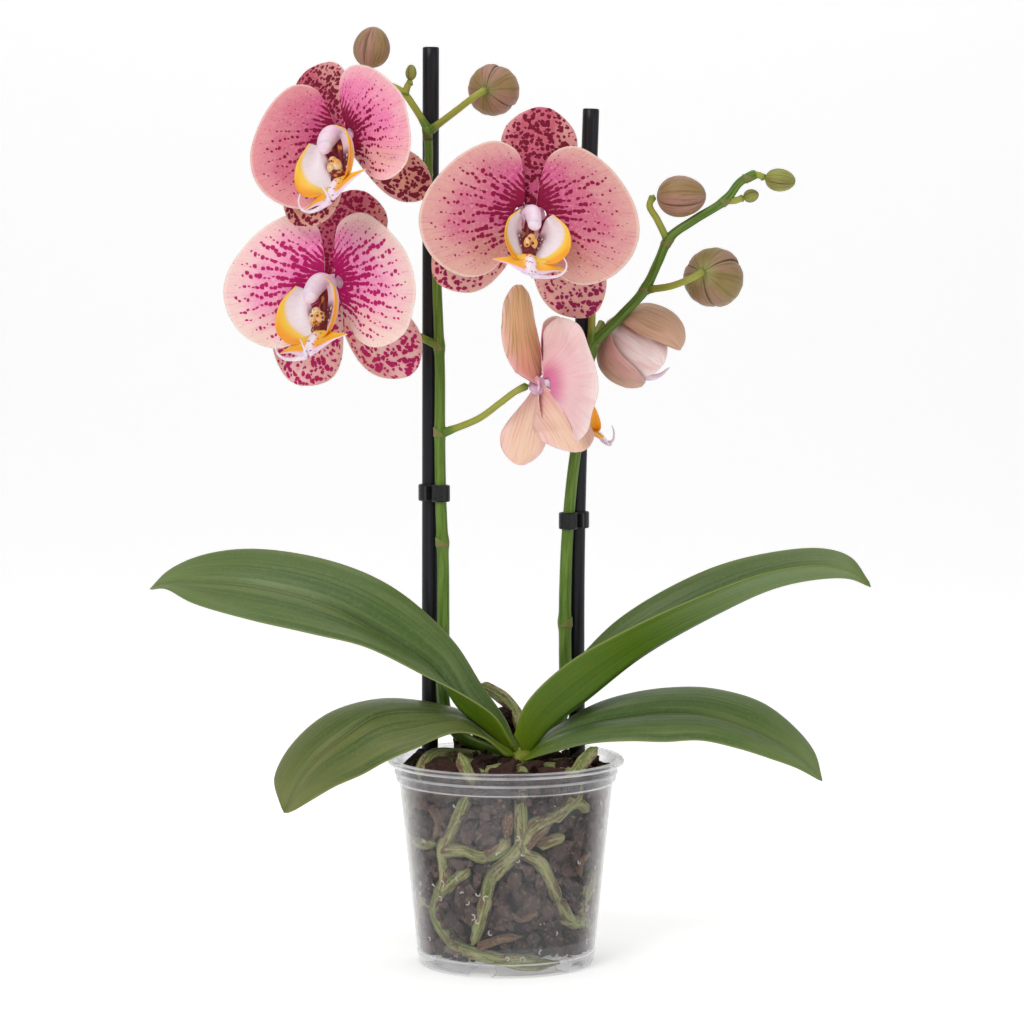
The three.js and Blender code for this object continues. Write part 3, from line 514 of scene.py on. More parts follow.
def fanned_dots(f, row, radius, look):
    """Distance from the nearest dot of a petal's fanned rows, that dot's chance, and the place
    across its row. Dots are drawn out along their row near the petal's base."""
    line, across = f.steps(row)
    shift = f.chances(line, 7.0)[0]
    number, along = f.steps(f.plus(f.times(radius, MAP_SIZE / look["step"]), shift))
    left, up, chance = f.chances(line, number)
    width = f.times(radius, MAP_SIZE * radians(ROW_DEGREES))
    left = f.swing(left, look["scatter"])
    up = f.swing(up, look["scatter"])
    x = f.times(f.plus(across, left), width)
    y = f.times(f.plus(along, up), look["step"])
    y = f.times(y, f.ramp(radius, 0.2, 0.4, 0.42, 0.78))
    reach = f.length(x, y)
    return f.times(reach, 1 / look["dot"]), chance, f.math("ABSOLUTE", across)


def petal_places(f, look):
    """Where a point lies on its petal or sepal, with the fine veins and net of the skin there."""
    _, row, radius = f.map_parts("rows")
    flat, _, _ = f.map_parts("flat")
    _, margin, reach = f.map_parts("edge")
    row = f.times(row, ROW_SPAN)
    if look["fan"]:
        reach = f.ramp(radius, ROW_POLE / MAP_SIZE, ROW_POLE / MAP_SIZE + 0.46)
    return SimpleNamespace(row=row, radius=radius, flat=flat, margin=margin, reach=reach,
                           vein=f.streaks(row, 7.0, radius, 7.0, 3.0),
                           net=f.noise(flat, 60.0, 3.0, 0.6))


def petal_ground(f, look, at):
    """The colour under the spots: from base to margin, with blush, rim, veins, net and hem."""
    cloud = f.noise(at.flat, 9.0, 2.0)
    edge = f.plus(at.margin, f.swing(cloud, 0.3))
    outer = f.ramp(at.radius, 0.26, 0.38) if look["fan"] else 1.0
    tone = f.mix(f.ramp(at.reach, 0.12, 0.6), look["inner"], look["body"])
    tone = f.mix(f.ramp(at.row, *look["droop"]), tone, look["low"])
    tone = f.lay(tone, look["blush"], 0.5, cloud, 0.45, 0.7)
    rim = f.times(f.ramp(edge, look["rim_from"], 1.0), look["rim_share"])
    tone = f.mix(f.times(rim, outer), tone, look["rim"])
    tone = f.lay(tone, look["vein"], look["veins"], at.vein, 0.5, 0.68)
    tone = f.lay(tone, look["rim"], 0.4, at.net, 0.48, 0.68)
    return f.lay(tone, look["hem"], outer, at.margin, 0.955, 0.99, 0.0, 0.5)


def petal_dots(f, look, at):
    """Distance from the nearest spot, that spot's chance, and a ridge that runs with its row."""
    drift = f.swing(f.noise(at.flat, 13.0, 1.0), look["drift"])
    row = f.plus(at.row, drift)
    if look["fan"]:
        return fanned_dots(f, row, at.radius, look)
    along = f.plus(f.times(at.radius, MAP_SIZE / look["step"]), drift)
    return *f.cells(f.vector(row, along), 1.0, look["scatter"], "2D"), at.vein


def spot_size(f, look, at, chance):
    """How large a spot may grow: less towards the margin, the top and the foot, and some not at all."""
    skip = look["skip"]
    size = f.ramp(at.reach, look["spots_from"], look["spots_to"], look["dense"], look["far"])
    for share in (f.ramp(f.noise(at.flat, 7.0, 1.0), 0.34, 0.6, look["patchy"], 1.0),
                  f.ramp(at.row, *look["lift"], 1.0, 0.3), f.ramp(chance, skip - 0.02, skip + 0.02),
                  f.ramp(chance, skip, 1.0, 0.6, 1.3), f.ramp(at.row, *look["low_limit"], 1.0, 0.2),
                  f.ramp(at.margin, 0.82, 0.94, 1.0, 0.0 if look["fan"] else 0.3)):
        size = f.times(size, share)
    return size


def spotted_finish(name, look):
    """A petal or sepal face: its ground colour, then a glow round its spots, the spots and a dark throat."""
    f = Finish(name, roughness=0.55, specular=0.18)
    at = petal_places(f, look)
    distance, chance, ridge = petal_dots(f, look, at)
    over = f.minus(spot_size(f, look, at, chance), distance)
    fringe = f.swing(f.noise(at.flat, 42.0, 1.0), 0.5)
    spot = f.ramp(f.plus(over, fringe), -0.03, 0.06)
    streaky = f.plus(f.times(ridge, 0.3), f.times(f.noise(at.flat, 26.0, 2.0), 0.36))
    throat = f.ramp(f.plus(at.reach, f.minus(streaky, 0.2)),
                    look["throat"], look["throat"] + 0.06, 1.0, 0.0)
    tone = f.lay(petal_ground(f, look, at), look["glow"], look["halo"], over, -0.3, 0.1)
    spot = f.times(f.math("MAXIMUM", spot, throat), look["spot_share"])
    f.glow_through(0.15, (1.0, 0.3, 0.3))
    return f.done(f.mix(spot, tone, look["spot"]), f.plus(f.times(at.vein, 0.8), f.times(at.net, 0.5)),
                  0.0008, 0.7)


def backed_finish(name, body, margin_tone, vein, vein_share, blush):
    """The back of a petal or sepal: soft colour with long veins and a pale hem."""
    f = Finish(name, roughness=0.5, specular=0.35)
    _, row, radius = f.map_parts("rows")
    flat, _, _ = f.map_parts("flat")
    _, margin, reach = f.map_parts("edge")
    cloud = f.noise(flat, 8.0, 2.0)
    edge = f.plus(margin, f.swing(cloud, 0.5))
    tone = f.mix(f.ramp(edge, 0.55, 1.0), body, margin_tone)
    lines = f.streaks(row, 90.0, radius, 3.0, 2.0)
    tone = f.lay(tone, vein, vein_share, lines, 0.48, 0.66)
    tone = f.mix(f.ramp(reach, 0.05, 0.42, blush, 0.0), tone, (0.70, 0.16, 0.34))
    f.glow_through(0.15, (1.0, 0.4, 0.3))
    return f.done(tone, lines, 0.0007, 0.8)


def leaf_finish(name, dark, light, shade, margin, gloss):
    """A strap leaf's face: lengthwise streaks, painted shade in the crease by the pale midrib, waxy gloss."""
    f = Finish(name, roughness=gloss, specular=0.28)
    _, across, along = f.map_parts("rows")
    streak = f.streaks(across, 30.0, along, 1.3, 3.0)
    broad = f.streaks(across, 4.0, along, 2.6, 2.0)
    tone = f.mix(f.ramp(streak, 0.25, 0.8), dark, light)
    tone = f.lay(tone, shade, 0.5, broad, 0.42, 0.7)
    side = f.math("ABSOLUTE", f.minus(across, 0.5))
    # Painted shade: a dark green band along the crease by the midrib.
    tone = f.lay(tone, (0.022, 0.052, 0.008), 0.55, side, 0.01, 0.06, 1.0, 0.0)
    tone = f.lay(tone, margin, 0.5, side, 0.0, 0.014, 1.0, 0.0)
    tone = f.lay(tone, margin, 0.85, side, 0.475, 0.498)
    tone = f.mix(f.ramp(along, 0.0, 0.2, 0.7, 0.0), tone, (0.17, 0.25, 0.008))
    tone = f.mix(f.ramp(f.plus(along, f.times(broad, 0.3)), 0.6, 1.2, 0.0, 0.75), tone, shade)
    mottle = f.noise(f.object_place(), 520.0, 4.0, 0.6)
    tone = f.lay(tone, shade, 0.25, mottle, 0.5, 0.7)
    fine = f.streaks(across, 120.0, along, 6.0, 2.0)
    relief = f.plus(streak, f.times(f.plus(fine, mottle), 0.35))
    return f.done(tone, relief, 0.0007, 0.5)


def stem_finish(name, low, high, tip):
    """Green stalk skin with fine streaks and specks; thin stalks are paler, as their tips are."""
    f = Finish(name, roughness=0.38, specular=0.35)
    streak = f.noise(f.stem_place(2.4, 55.0), 1.0, 3.0)
    tone = f.mix(f.ramp(streak, 0.32, 0.7), low, high)
    place = f.object_place()
    speck = f.noise(place, 1500.0, 2.0)
    tone = f.lay(tone, high, 0.35, speck, 0.52, 0.7)
    slender = f.node("ShaderNodeAttribute", attribute_name="slender")
    tone = f.mix(slender.outputs["Fac"], tone, tip)
    return f.done(tone, f.plus(streak, f.times(speck, 0.4)), 0.0003, 0.5)


def root_finish(name, dark, light, scars_from):
    """Root skin with long pale streaks, rough brown scars and a pale waxy bloom."""
    f = Finish(name, roughness=0.6, specular=0.25)
    streak = f.noise(f.stem_place(2.6, 45.0), 1.0, 4.0, 0.6)
    tone = f.mix(f.ramp(streak, 0.34, 0.66), dark, light)
    broad = f.noise(f.stem_place(1.0, 70.0), 1.0, 2.0)
    tone = f.lay(tone, (0.46, 0.40, 0.22), 0.75, broad, 0.5, 0.66)
    scar = f.noise(f.stem_place(1.7, 95.0), 1.0, 5.0, 0.75)
    tone = f.lay(tone, (0.15, 0.07, 0.04), 0.92, scar, scars_from, scars_from + 0.05)
    grit = f.noise(f.object_place(), 900.0, 3.0, 0.6)
    tone = f.lay(tone, (0.56, 0.50, 0.38), 0.5, grit, 0.54, 0.68)
    return f.done(tone, f.plus(streak, f.plus(f.times(grit, 0.5), scar)), 0.0014, 0.9)


def wall_bark(f, place, own, grain):
    """Bark as it shows through the wall: plates in their own shades, paler and greyer as painted haze of the
    plastic, dark plate borders as painted shade in the gaps between chips, and pale crumbs.
    """
    border, plate = f.cells(place, 125.0)
    torn = f.plus(border, f.swing(grain, 1.1))
    shade = f.plus(f.times(own, 0.45), f.times(plate, 0.55))
    crumb = f.noise(place, 520.0, 5.0, 0.8)
    # Painted haze: this paler, greyer range stands for the veil of light that the hazy plastic lays over the
    # bark.
    wall_tone_with_painted_haze = f.mix(shade, (0.040, 0.024, 0.023), (0.20, 0.128, 0.108))
    # Painted shade: the ragged plate borders are darkened, as the gaps between chips would be in shade.
    wall_tone_with_painted_haze = f.lay(wall_tone_with_painted_haze, (0.022, 0.014, 0.013), 0.75, torn, 0.5, 0.66)
    wall_tone_with_painted_haze = f.lay(wall_tone_with_painted_haze, (0.24, 0.15, 0.125), 0.6, grain, 0.52, 0.66)
    wall_tone_with_painted_haze = f.lay(wall_tone_with_painted_haze, (0.40, 0.27, 0.20), 0.75, crumb, 0.56, 0.61)
    return f.lay(wall_tone_with_painted_haze, (0.03, 0.02, 0.02), 0.6, grain, 0.3, 0.46, 1.0, 0.0)


def bark_finish():
    """Bark, each chip in its own shade: reddish brown on top; at the wall paler and greyer, painted for the
    haze of the plastic; darkened deeper in from the wall by painted shade.
    """
    f = Finish("bark_chip", roughness=0.8, specular=0.2)
    place = f.object_place()
    own = f.node("ShaderNodeAttribute", attribute_name="shade").outputs["Fac"]
    grain = f.noise(place, 340.0, 8.0, 0.8)
    tone = f.mix(own, (0.034, 0.016, 0.013), (0.115, 0.056, 0.042))
    tone = f.lay(tone, (0.19, 0.10, 0.072), 0.6, grain, 0.48, 0.66)
    tone = f.lay(tone, (0.014, 0.007, 0.007), 0.7, grain, 0.3, 0.44, 1.0, 0.0)
    x, y, z = f.parts(place)
    radius = f.length(x, y)
    slope = (POT["body_top"] - POT["foot"]) / POT["body_top_z"]
    wall = f.plus(f.times(z, slope), (POT["foot"] - POT["wall"]) * MM)
    depth = f.minus(wall, radius)
    inside = f.ramp(z, 0.092, 0.1, 1.0, 0.0)
    # Near the wall, below the rim, the bark takes the wall tone, with its painted haze and painted gap shade.
    tone = f.lay(tone, wall_bark(f, place, own, grain), inside, depth, 0.002, 0.008, 1.0, 0.0)
    # Painted shade: the bark turns near black the deeper it lies behind the wall, below the rim.
    painted_hollow_shade = f.times(f.ramp(depth, 0.0035, 0.010), inside)
    tone = f.mix(f.times(painted_hollow_shade, 0.85), tone, (0.010, 0.006, 0.006))
    return f.done(tone, grain, 0.003, 1.0)


def clear_finish(name, tint, haze, alpha, sheen):
    """Clear plastic: almost unseen from straight on, hazy and pale along its edges."""
    f = Finish(name, roughness=0.2, specular=0.5)
    wave = f.noise(f.object_place((1, 1, 0.5)), 60.0, 2.0)
    f.bump(wave, 0.0008, 0.25)
    glance = f.node("ShaderNodeLayerWeight").outputs["Facing"]
    low_angle = f.ramp(glance, 0.36, 0.94)
    f.colour(f.mix(low_angle, tint, haze))
    cloud = f.noise(f.object_place(), 25.0, 3.0)
    clear = f.times(f.ramp(cloud, 0.3, 0.7, 0.6, 1.5), alpha)
    f.feed(f.shader.inputs["Alpha"], f.math("ADD", clear, f.times(low_angle, sheen), clamp=True))
    return f.material


def black_finish(name, tone, roughness, lengthwise):
    f = Finish(name, roughness=roughness, specular=0.28)
    place = f.object_place((1, 1, 0.02) if lengthwise else (1, 1, 1))
    grain = f.noise(place, 900.0, 2.0)
    worn = tuple(min(1, c * 1.5 + 0.004) for c in tone)
    return f.done(f.mix(f.ramp(grain, 0.3, 0.7), tone, worn), grain, 0.0003, 0.5)


def bud_finish(name, base, body, middle, vein):
    """Bud skin: green at its foot, an olive band along each sepal, long veins, dark seams."""
    f = Finish(name, roughness=0.45, specular=0.3)
    _, turn, height = f.map_parts("rows")
    side = f.math("ABSOLUTE", f.steps(f.times(turn, 3.0))[1])
    lines = f.streaks(turn, 46.0, height, 2.2, 3.0)
    cloud = f.noise(f.object_place(), 240.0, 3.0)
    drift = f.swing(cloud, 0.3)
    tone = f.mix(f.ramp(f.plus(side, drift), 0.12, 0.34), middle, body)
    tone = f.mix(f.ramp(height, 0.02, 0.2), base, tone)
    tone = f.lay(tone, vein, 0.55, lines, 0.46, 0.64)
    tone = f.lay(tone, (0.05, 0.025, 0.012), 0.85, side, 0.47, 0.492)
    f.glow_through(0.1, (1.0, 0.5, 0.3))
    return f.done(tone, f.plus(lines, cloud), 0.0007, 0.8)


def heart_finish():
    """Closed petals: pale pink with soft lengthwise bands, the paler of them painted highlights."""
    f = Finish("opening_heart", roughness=0.4, specular=0.4)
    _, turn, height = f.map_parts("rows")
    band = f.streaks(turn, 14.0, height, 1.5, 2.0)
    lines = f.streaks(turn, 60.0, height, 3.0, 2.0)
    # The paler streaks paint the lengthwise highlights on the closed petals.
    tone = f.mix(f.ramp(band, 0.36, 0.62), (0.88, 0.60, 0.57), (0.95, 0.80, 0.77))
    tone = f.lay(tone, (0.70, 0.40, 0.44), 0.3, lines, 0.48, 0.66)
    f.glow_through(0.15, (1.0, 0.5, 0.4))
    return f.done(tone, f.plus(band, f.times(lines, 0.4)), 0.001, 0.6)


def plain_skin(name, tone, other):
    """A soft skin that drifts between two tones."""
    f = Finish(name, specular=0.4)
    cloud = f.noise(f.object_place(), 260.0)
    f.glow_through(0.2, (1.0, 0.5, 0.4))
    return f.done(f.mix(f.ramp(cloud, 0.35, 0.68), tone, other), cloud, 0.0003, 0.5)


def lip_ear_finish():
    """The lip's ear: white-lilac, with a yellow to orange rim and a dark foot."""
    f = Finish("lip_ear", roughness=0.4, specular=0.4)
    _, along, reach = f.map_parts("rows")
    flat, _, _ = f.map_parts("flat")
    start = f.ramp(along, 0.1, 1.0, 0.62, 0.96)
    tone = f.mix(f.ramp(reach, 0.05, 0.5), (0.66, 0.44, 0.50), (0.88, 0.78, 0.82))
    streak = f.streaks(along, 34.0, reach, 2.0, 2.0)
    tone = f.lay(tone, (0.78, 0.60, 0.74), 0.35, streak, 0.5, 0.7)
    past = f.minus(reach, start)
    tone = f.mix(f.ramp(past, -0.07, 0.05), tone, (0.94, 0.60, 0.06))
    tone = f.mix(f.ramp(past, 0.04, 0.24), tone, (0.90, 0.34, 0.01))
    deep = f.times(f.ramp(reach, 0.14, 0.34, 1.0, 0.0), f.ramp(along, 0.5, 0.72, 1.0, 0.0))
    stained = f.times(deep, f.ramp(f.noise(flat, 9.0, 1.0), 0.34, 0.44))
    tone = f.mix(stained, tone, (0.12, 0.002, 0.008))
    f.glow_through(0.15, (1.0, 0.6, 0.5))
    return f.done(tone, f.noise(flat, 18.0), 0.0003, 0.4)


def lip_tongue_finish():
    """The lip's middle lobe: orange wings, a white crest and a lilac-white front margin."""
    f = Finish("lip_tongue", roughness=0.4, specular=0.4)
    _, across, along = f.map_parts("rows")
    flat, _, _ = f.map_parts("flat")
    side = f.math("ABSOLUTE", f.minus(across, 0.5))
    wave = f.swing(f.noise(flat, 6.0, 1.0), 0.2)
    tone = f.mix(f.ramp(along, 0.0, 0.6), (0.92, 0.56, 0.06), (0.90, 0.40, 0.02))
    tone = f.mix(f.ramp(f.plus(along, wave), 0.66, 0.84), tone, (0.84, 0.62, 0.78))
    crest = f.ramp(f.plus(side, f.times(wave, 0.3)), 0.05, 0.1, 1.0, 0.0)
    tone = f.mix(f.times(crest, f.ramp(along, 0.1, 0.4)), tone, (0.88, 0.76, 0.84))
    speck, _ = f.cells(flat, 8.0, 1.0, "2D")
    tone = f.mix(f.times(f.ramp(speck, 0.12, 0.18, 1.0, 0.0), f.ramp(side, 0.1, 0.2, 1.0, 0.0)),
                 tone, (0.42, 0.02, 0.16))
    f.glow_through(0.15, (1.0, 0.6, 0.5))
    return f.done(tone, f.noise(flat, 16.0), 0.0003, 0.4)


def throat_finish():
    """The dark floor of the lip, streaked with orange."""
    f = Finish("lip_throat", roughness=0.45, specular=0.35)
    streak = f.noise(f.object_place((1, 1, 0.4)), 330.0, 2.0)
    tone = f.mix(f.ramp(streak, 0.56, 0.66), (0.15, 0.004, 0.012), (0.70, 0.24, 0.03))
    return f.done(tone, streak, 0.0003, 0.4)


def callus_finish():
    f = Finish("lip_callus", roughness=0.4, specular=0.4)
    speck, chance = f.cells(f.object_place(), 420.0)
    spots = f.times(f.ramp(speck, 0.28, 0.38, 1.0, 0.0), f.ramp(chance, 0.2, 0.3))
    tone = f.mix(f.ramp(f.noise(f.object_place(), 200.0), 0.4, 0.62), (0.80, 0.40, 0.10), (0.80, 0.62, 0.40))
    f.colour(f.mix(spots, tone, (0.20, 0.008, 0.02)))
    f.glow_through(0.15, (1.0, 0.5, 0.3))
    return f.material


PETAL_LOOK = {
    "fan": True, "inner": (0.62, 0.09, 0.25), "body": (0.60, 0.15, 0.24), "blush": (0.62, 0.24, 0.27),
    "low": (0.56, 0.23, 0.19), "droop": (-1.8, -5.0), "rim": (0.72, 0.42, 0.35), "rim_from": 0.52,
    "rim_share": 0.85, "low_limit": (-4.6, -6.2), "hem": (0.90, 0.76, 0.66), "vein": (0.56, 0.12, 0.24),
    "veins": 0.35, "glow": (0.66, 0.10, 0.28), "halo": 0.3, "spot": (0.26, 0.0, 0.04), "spot_share": 0.98,
    "step": 2.3, "dot": 1.75, "drift": 0.8, "scatter": 0.36, "spots_from": 0.25, "spots_to": 1.05,
    "dense": 0.66, "far": 0.26, "patchy": 0.6, "lift": (4.2, 6.6), "skip": 0.13, "throat": 0.15,
}
SEPAL_LOOK = dict(PETAL_LOOK, fan=False, inner=(0.68, 0.34, 0.30), body=(0.66, 0.32, 0.27),
                  blush=(0.72, 0.42, 0.33), low=(0.66, 0.32, 0.27), rim_from=0.6, rim_share=0.6, step=2.9,
                  drift=1.6, scatter=0.95, spots_from=0.1, spots_to=1.0, dense=0.5, far=0.42,
                  low_limit=(-90.0, -91.0), lift=(30.0, 31.0), skip=0.08, throat=0.1)
DORSAL_LOOK = dict(SEPAL_LOOK, inner=(0.60, 0.09, 0.24), body=(0.52, 0.10, 0.14), blush=(0.58, 0.15, 0.16),
                   rim=(0.74, 0.34, 0.34), spot=(0.18, 0.0, 0.02), dense=0.56, far=0.46, patchy=0.85,
                   throat=0.2, rim_from=0.62, rim_share=0.8, step=2.3)
BLOOM_LOOKS = {
    "bloom_upper_left": (
        dict(PETAL_LOOK, body=(0.62, 0.15, 0.23), low=(0.66, 0.20, 0.25), lift=(1.4, 3.8), dense=0.74,
             rim=(0.76, 0.34, 0.34), rim_from=0.64, rim_share=0.8, low_limit=(-6.0, -9.0), skip=0.14),
        dict(PETAL_LOOK, inner=(0.80, 0.12, 0.34), body=(0.88, 0.22, 0.44), blush=(0.90, 0.32, 0.48),
             low=(0.78, 0.38, 0.36), rim=(0.92, 0.50, 0.52), dense=0.74, far=0.22, throat=0.17, rim_from=0.62,
             lift=(2.4, 5.0), low_limit=(-7.0, -9.0)),
        DORSAL_LOOK,
        dict(SEPAL_LOOK, body=(0.66, 0.30, 0.20), inner=(0.66, 0.32, 0.24), blush=(0.70, 0.38, 0.26),
             spot=(0.17, 0.0, 0.02), dense=0.6, far=0.54)),
    "bloom_lower_left": tuple([
        dict(PETAL_LOOK, inner=(0.84, 0.20, 0.48), body=(0.84, 0.30, 0.50), blush=(0.86, 0.46, 0.56),
             low=(0.84, 0.50, 0.50), rim=(0.87, 0.66, 0.58), hem=(0.93, 0.80, 0.70), rim_from=0.5,
             spot=(0.44, 0.0, 0.11), glow=(0.82, 0.16, 0.46), vein=(0.78, 0.26, 0.46),
             dense=0.84, far=0.46, skip=0.04, lift=(4.4, 7.0), low_limit=(-5.6, -7.2), throat=0.14)] * 2 + [
        dict(DORSAL_LOOK, body=(0.64, 0.18, 0.26), spot=(0.30, 0.0, 0.06)),
        dict(SEPAL_LOOK, body=(0.84, 0.46, 0.46), blush=(0.86, 0.60, 0.54), inner=(0.80, 0.52, 0.44),
             spot=(0.42, 0.0, 0.09), dense=0.54, far=0.48)]),
    "bloom_centre": (PETAL_LOOK, PETAL_LOOK, DORSAL_LOOK,
                     dict(SEPAL_LOOK, body=(0.72, 0.38, 0.33), inner=(0.72, 0.42, 0.36),
                          spot=(0.26, 0.002, 0.06), dense=0.26, far=0.52)),
    "bloom_side": (PETAL_LOOK, PETAL_LOOK, DORSAL_LOOK, SEPAL_LOOK),
}

# ---- Blooms: x to the bloom's right, y up and z forward, as seen from its front ----

PETAL_MARGIN = [(3.3, 7), (4.5, 20), (9, 31), (21, 35), (37, 26.5), (50, 11), (54.5, -3),
                (52.5, -15), (46, -24.5), (37, -30.5), (27, -32.5), (17.5, -29), (10, -19), (5, -6.4)]
SIDE_MARGIN = [(0.8, 7), (-2, 19), (2, 30), (18, 36), (38, 33), (50, 22), (55, 6),
               (55, -8), (50, -18), (43, -25), (37, -27), (30, -21.2), (20, -12.8), (7.6, -3.4)]
PETAL_CLAW = (3, 1)
SEPAL_WIDTHS = [(0, 0.28), (0.15, 0.46), (0.32, 0.7), (0.5, 0.92), (0.66, 1), (0.8, 0.9),
                (0.91, 0.62), (0.98, 0.3), (1, 0.12)]
NARROW_WIDTHS = [(0, 0.45), (0.15, 0.82), (0.32, 1.04), (0.5, 1.04), (0.66, 0.9), (0.8, 0.78),
                 (0.91, 0.56), (0.98, 0.3), (1, 0.12)]
PETAL_LIFT, SEPAL_LIFT = 1.8, -1.4
HUB_RADII, HUB_DEPTH = (5.2, 5.2, 5.4), -1.5
HUB_SHARE = 0.94
LIP_GAP = 0.35
# A petal's rows of spots fan out from a pole behind its claw, one every few degrees; a sepal's rows lie
# side by side. The maps give rows as shares of ROW_SPAN, and millimetres as shares of MAP_SIZE.
ROW_DEGREES, ROW_POLE, ROW_WIDTH = 6.2, 13, 2.5
ROW_SPAN, MAP_SIZE = 40, 100

# How far each petal leans back, and is turned anticlockwise; angle, length, half width, lean back and
# twist of each sepal; roll, scale, yaw, longer tendril's side and lift of each lip.
BLOOMS = [
    {"name": "bloom_upper_left", "centre": (-80.1, -18, 418.3), "scale": 0.9, "yaw": -24, "roll": 8,
     "petals": (-22, -22), "tilts": (9, 10),
     "sepals": [(127, 53, 22, 18, 0), (-132, 57, 17, -4, 0), (-43, 56, 14, 14, 0)],
     "lip": (18, 1.16, -16, -1, 0)},
    {"name": "bloom_lower_left", "centre": (-87.6, -2, 345.2), "scale": 1.0, "yaw": -21, "roll": 3,
     "petals": (-16, -16), "tilts": (-4, 0),
     "sepals": [(79, 51, 20, 20, 0), (-121, 57, 20, 8, 0), (-52, 60, 18, 12, 0)],
     "lip": (10, 1.17, -18, -1, 0)},
    {"name": "bloom_centre", "centre": (11.9, -35, 379.7), "scale": 1.0, "yaw": -2, "roll": -4,
     "petals": (-4, -4), "tilts": (0, 0),
     "sepals": [(87, 54, 19, 8, 0), (-142, 58, 17, 10, 0), (-54, 59, 17, 10, 0)],
     "lip": (-5, 0.97, 18, 1, 0)},
    {"name": "bloom_side", "centre": (17.6, -15, 294.6), "scale": 0.96, "yaw": 100, "roll": 0,
     "petals": (-18, -29), "tilts": (0, 0),
     "sepals": [(88, 54, 14.2, 12, 52), (-122, 43, 14.5, -24, 75), (-75, 44, 13.5, 11, 52)],
     "lip": (0, 1.14, 0, 1, 13)},
]


def bloom_place(centre, yaw, roll, scale, forward=0.0):
    turn = turned(yaw, "Z") @ turned(-roll, "Y") @ turned(90, "X")
    return (Matrix.Translation(Vector(centre)) @ turn @ Matrix.Translation((0, 0, forward))
            @ Matrix.Scale(scale, 4))


def petal_flat(side, u, v, margin):
    """The petal's outline laid flat: a point between its claw and its margin."""
    x, y = even_spline(margin, 1 - v if side < 0 else v)
    share = lerp(0.1, 1, u)
    return lerp(PETAL_CLAW[0], x, share), lerp(PETAL_CLAW[1], y, share)


def petal_surface(side, sweep, tilt, seed, margin):
    turn, tilt = radians(sweep), radians(tilt) * side

    def surface(u, v):
        x, y = petal_flat(side, u, v, margin)
        x, y = x - PETAL_CLAW[0], y - PETAL_CLAW[1]
        x, y = (PETAL_CLAW[0] + x * cos(tilt) - y * sin(tilt),
                PETAL_CLAW[1] + x * sin(tilt) + y * cos(tilt))
        dome = 2.2 * sin(pi * min(u * 1.1, 1)) * min(x / 20, 1)
        ruffle = 0.9 * sin(v * 5 * pi) * u ** 3
        frill = 0.45 * sin(v * 31 + seed) * u ** 6
        swell = 2.4 * (noise.noise(Vector((x * 0.06, y * 0.06, seed))) * u)
        lift = dome + ruffle + frill + swell
        reach = x - PETAL_CLAW[0]
        return (side * (PETAL_CLAW[0] + reach * cos(turn) + lift * sin(turn)), y,
                PETAL_LIFT - reach * sin(turn) + lift * cos(turn))
    return surface


def petal_maps(side, margin):
    def rows(u, v):
        x, y = petal_flat(side, u, v, margin)
        x, y = x - PETAL_CLAW[0] + ROW_POLE, y - PETAL_CLAW[1]
        return (degrees(atan2(y, x)) / ROW_DEGREES / ROW_SPAN, hypot(x, y) / MAP_SIZE)

    def flat(u, v):
        x, y = petal_flat(side, u, v, margin)
        return (side * x / MAP_SIZE + 0.7, y / MAP_SIZE + 0.7)
    return rows, flat, lambda u, v: (u, u)


def sepal_surface(sepal, seed, widths):
    angle, length, half, sweep, twist = sepal
    direction = Vector((cos(radians(angle)), sin(radians(angle)), 0))
    across = Vector((-direction.y, direction.x, 0))
    back = Vector((0, 0, -1))

    def surface(u, v):
        side = v * 2 - 1
        share, width = even_spline(widths, u)
        width *= half
        lean = radians(twist) * min(u * (2 if widths is SEPAL_WIDTHS else 9), 1)
        bow = 2.5 * side ** 2 * (width / half) - 1.2 * sin(pi * u)
        bow += 0.8 * noise.noise(Vector((u * 3, side * 1.5, seed)))
        bow -= 0.5 * exp(-(side * 5) ** 2) * sin(pi * u)
        if widths is NARROW_WIDTHS:
            bow += 2.6 * sin(pi * min(u * 1.3, 1)) - 1.5 * u ** 4
        along = length * share
        return (Vector((0, 0, SEPAL_LIFT)) + direction * along * cos(radians(sweep))
                + back * (along * sin(radians(sweep)) + bow)
                + (across * cos(lean) + back * sin(lean)) * width * side)
    return surface


def sepal_maps(sepal, number):
    def rows(u, v):
        share, width = even_spline(SEPAL_WIDTHS, u)
        return ((v * 2 - 1) * width * sepal[2] / ROW_WIDTH / ROW_SPAN, share * sepal[1] / MAP_SIZE)

    def flat(u, v):
        share, width = even_spline(SEPAL_WIDTHS, u)
        return ((v * 2 - 1) * width * sepal[2] / MAP_SIZE + 2.5 + number, share * sepal[1] / MAP_SIZE)
    return rows, flat, lambda u, v: (max(abs(v * 2 - 1), u ** 3), u)


def thin_edge(thickness):
    """Thickness that narrows towards a blade's margins."""
    def at(u, v):
        side = abs(v * 2 - 1)
        return thickness * (1 - 0.55 * max(side ** 8, u ** 10))
    return at


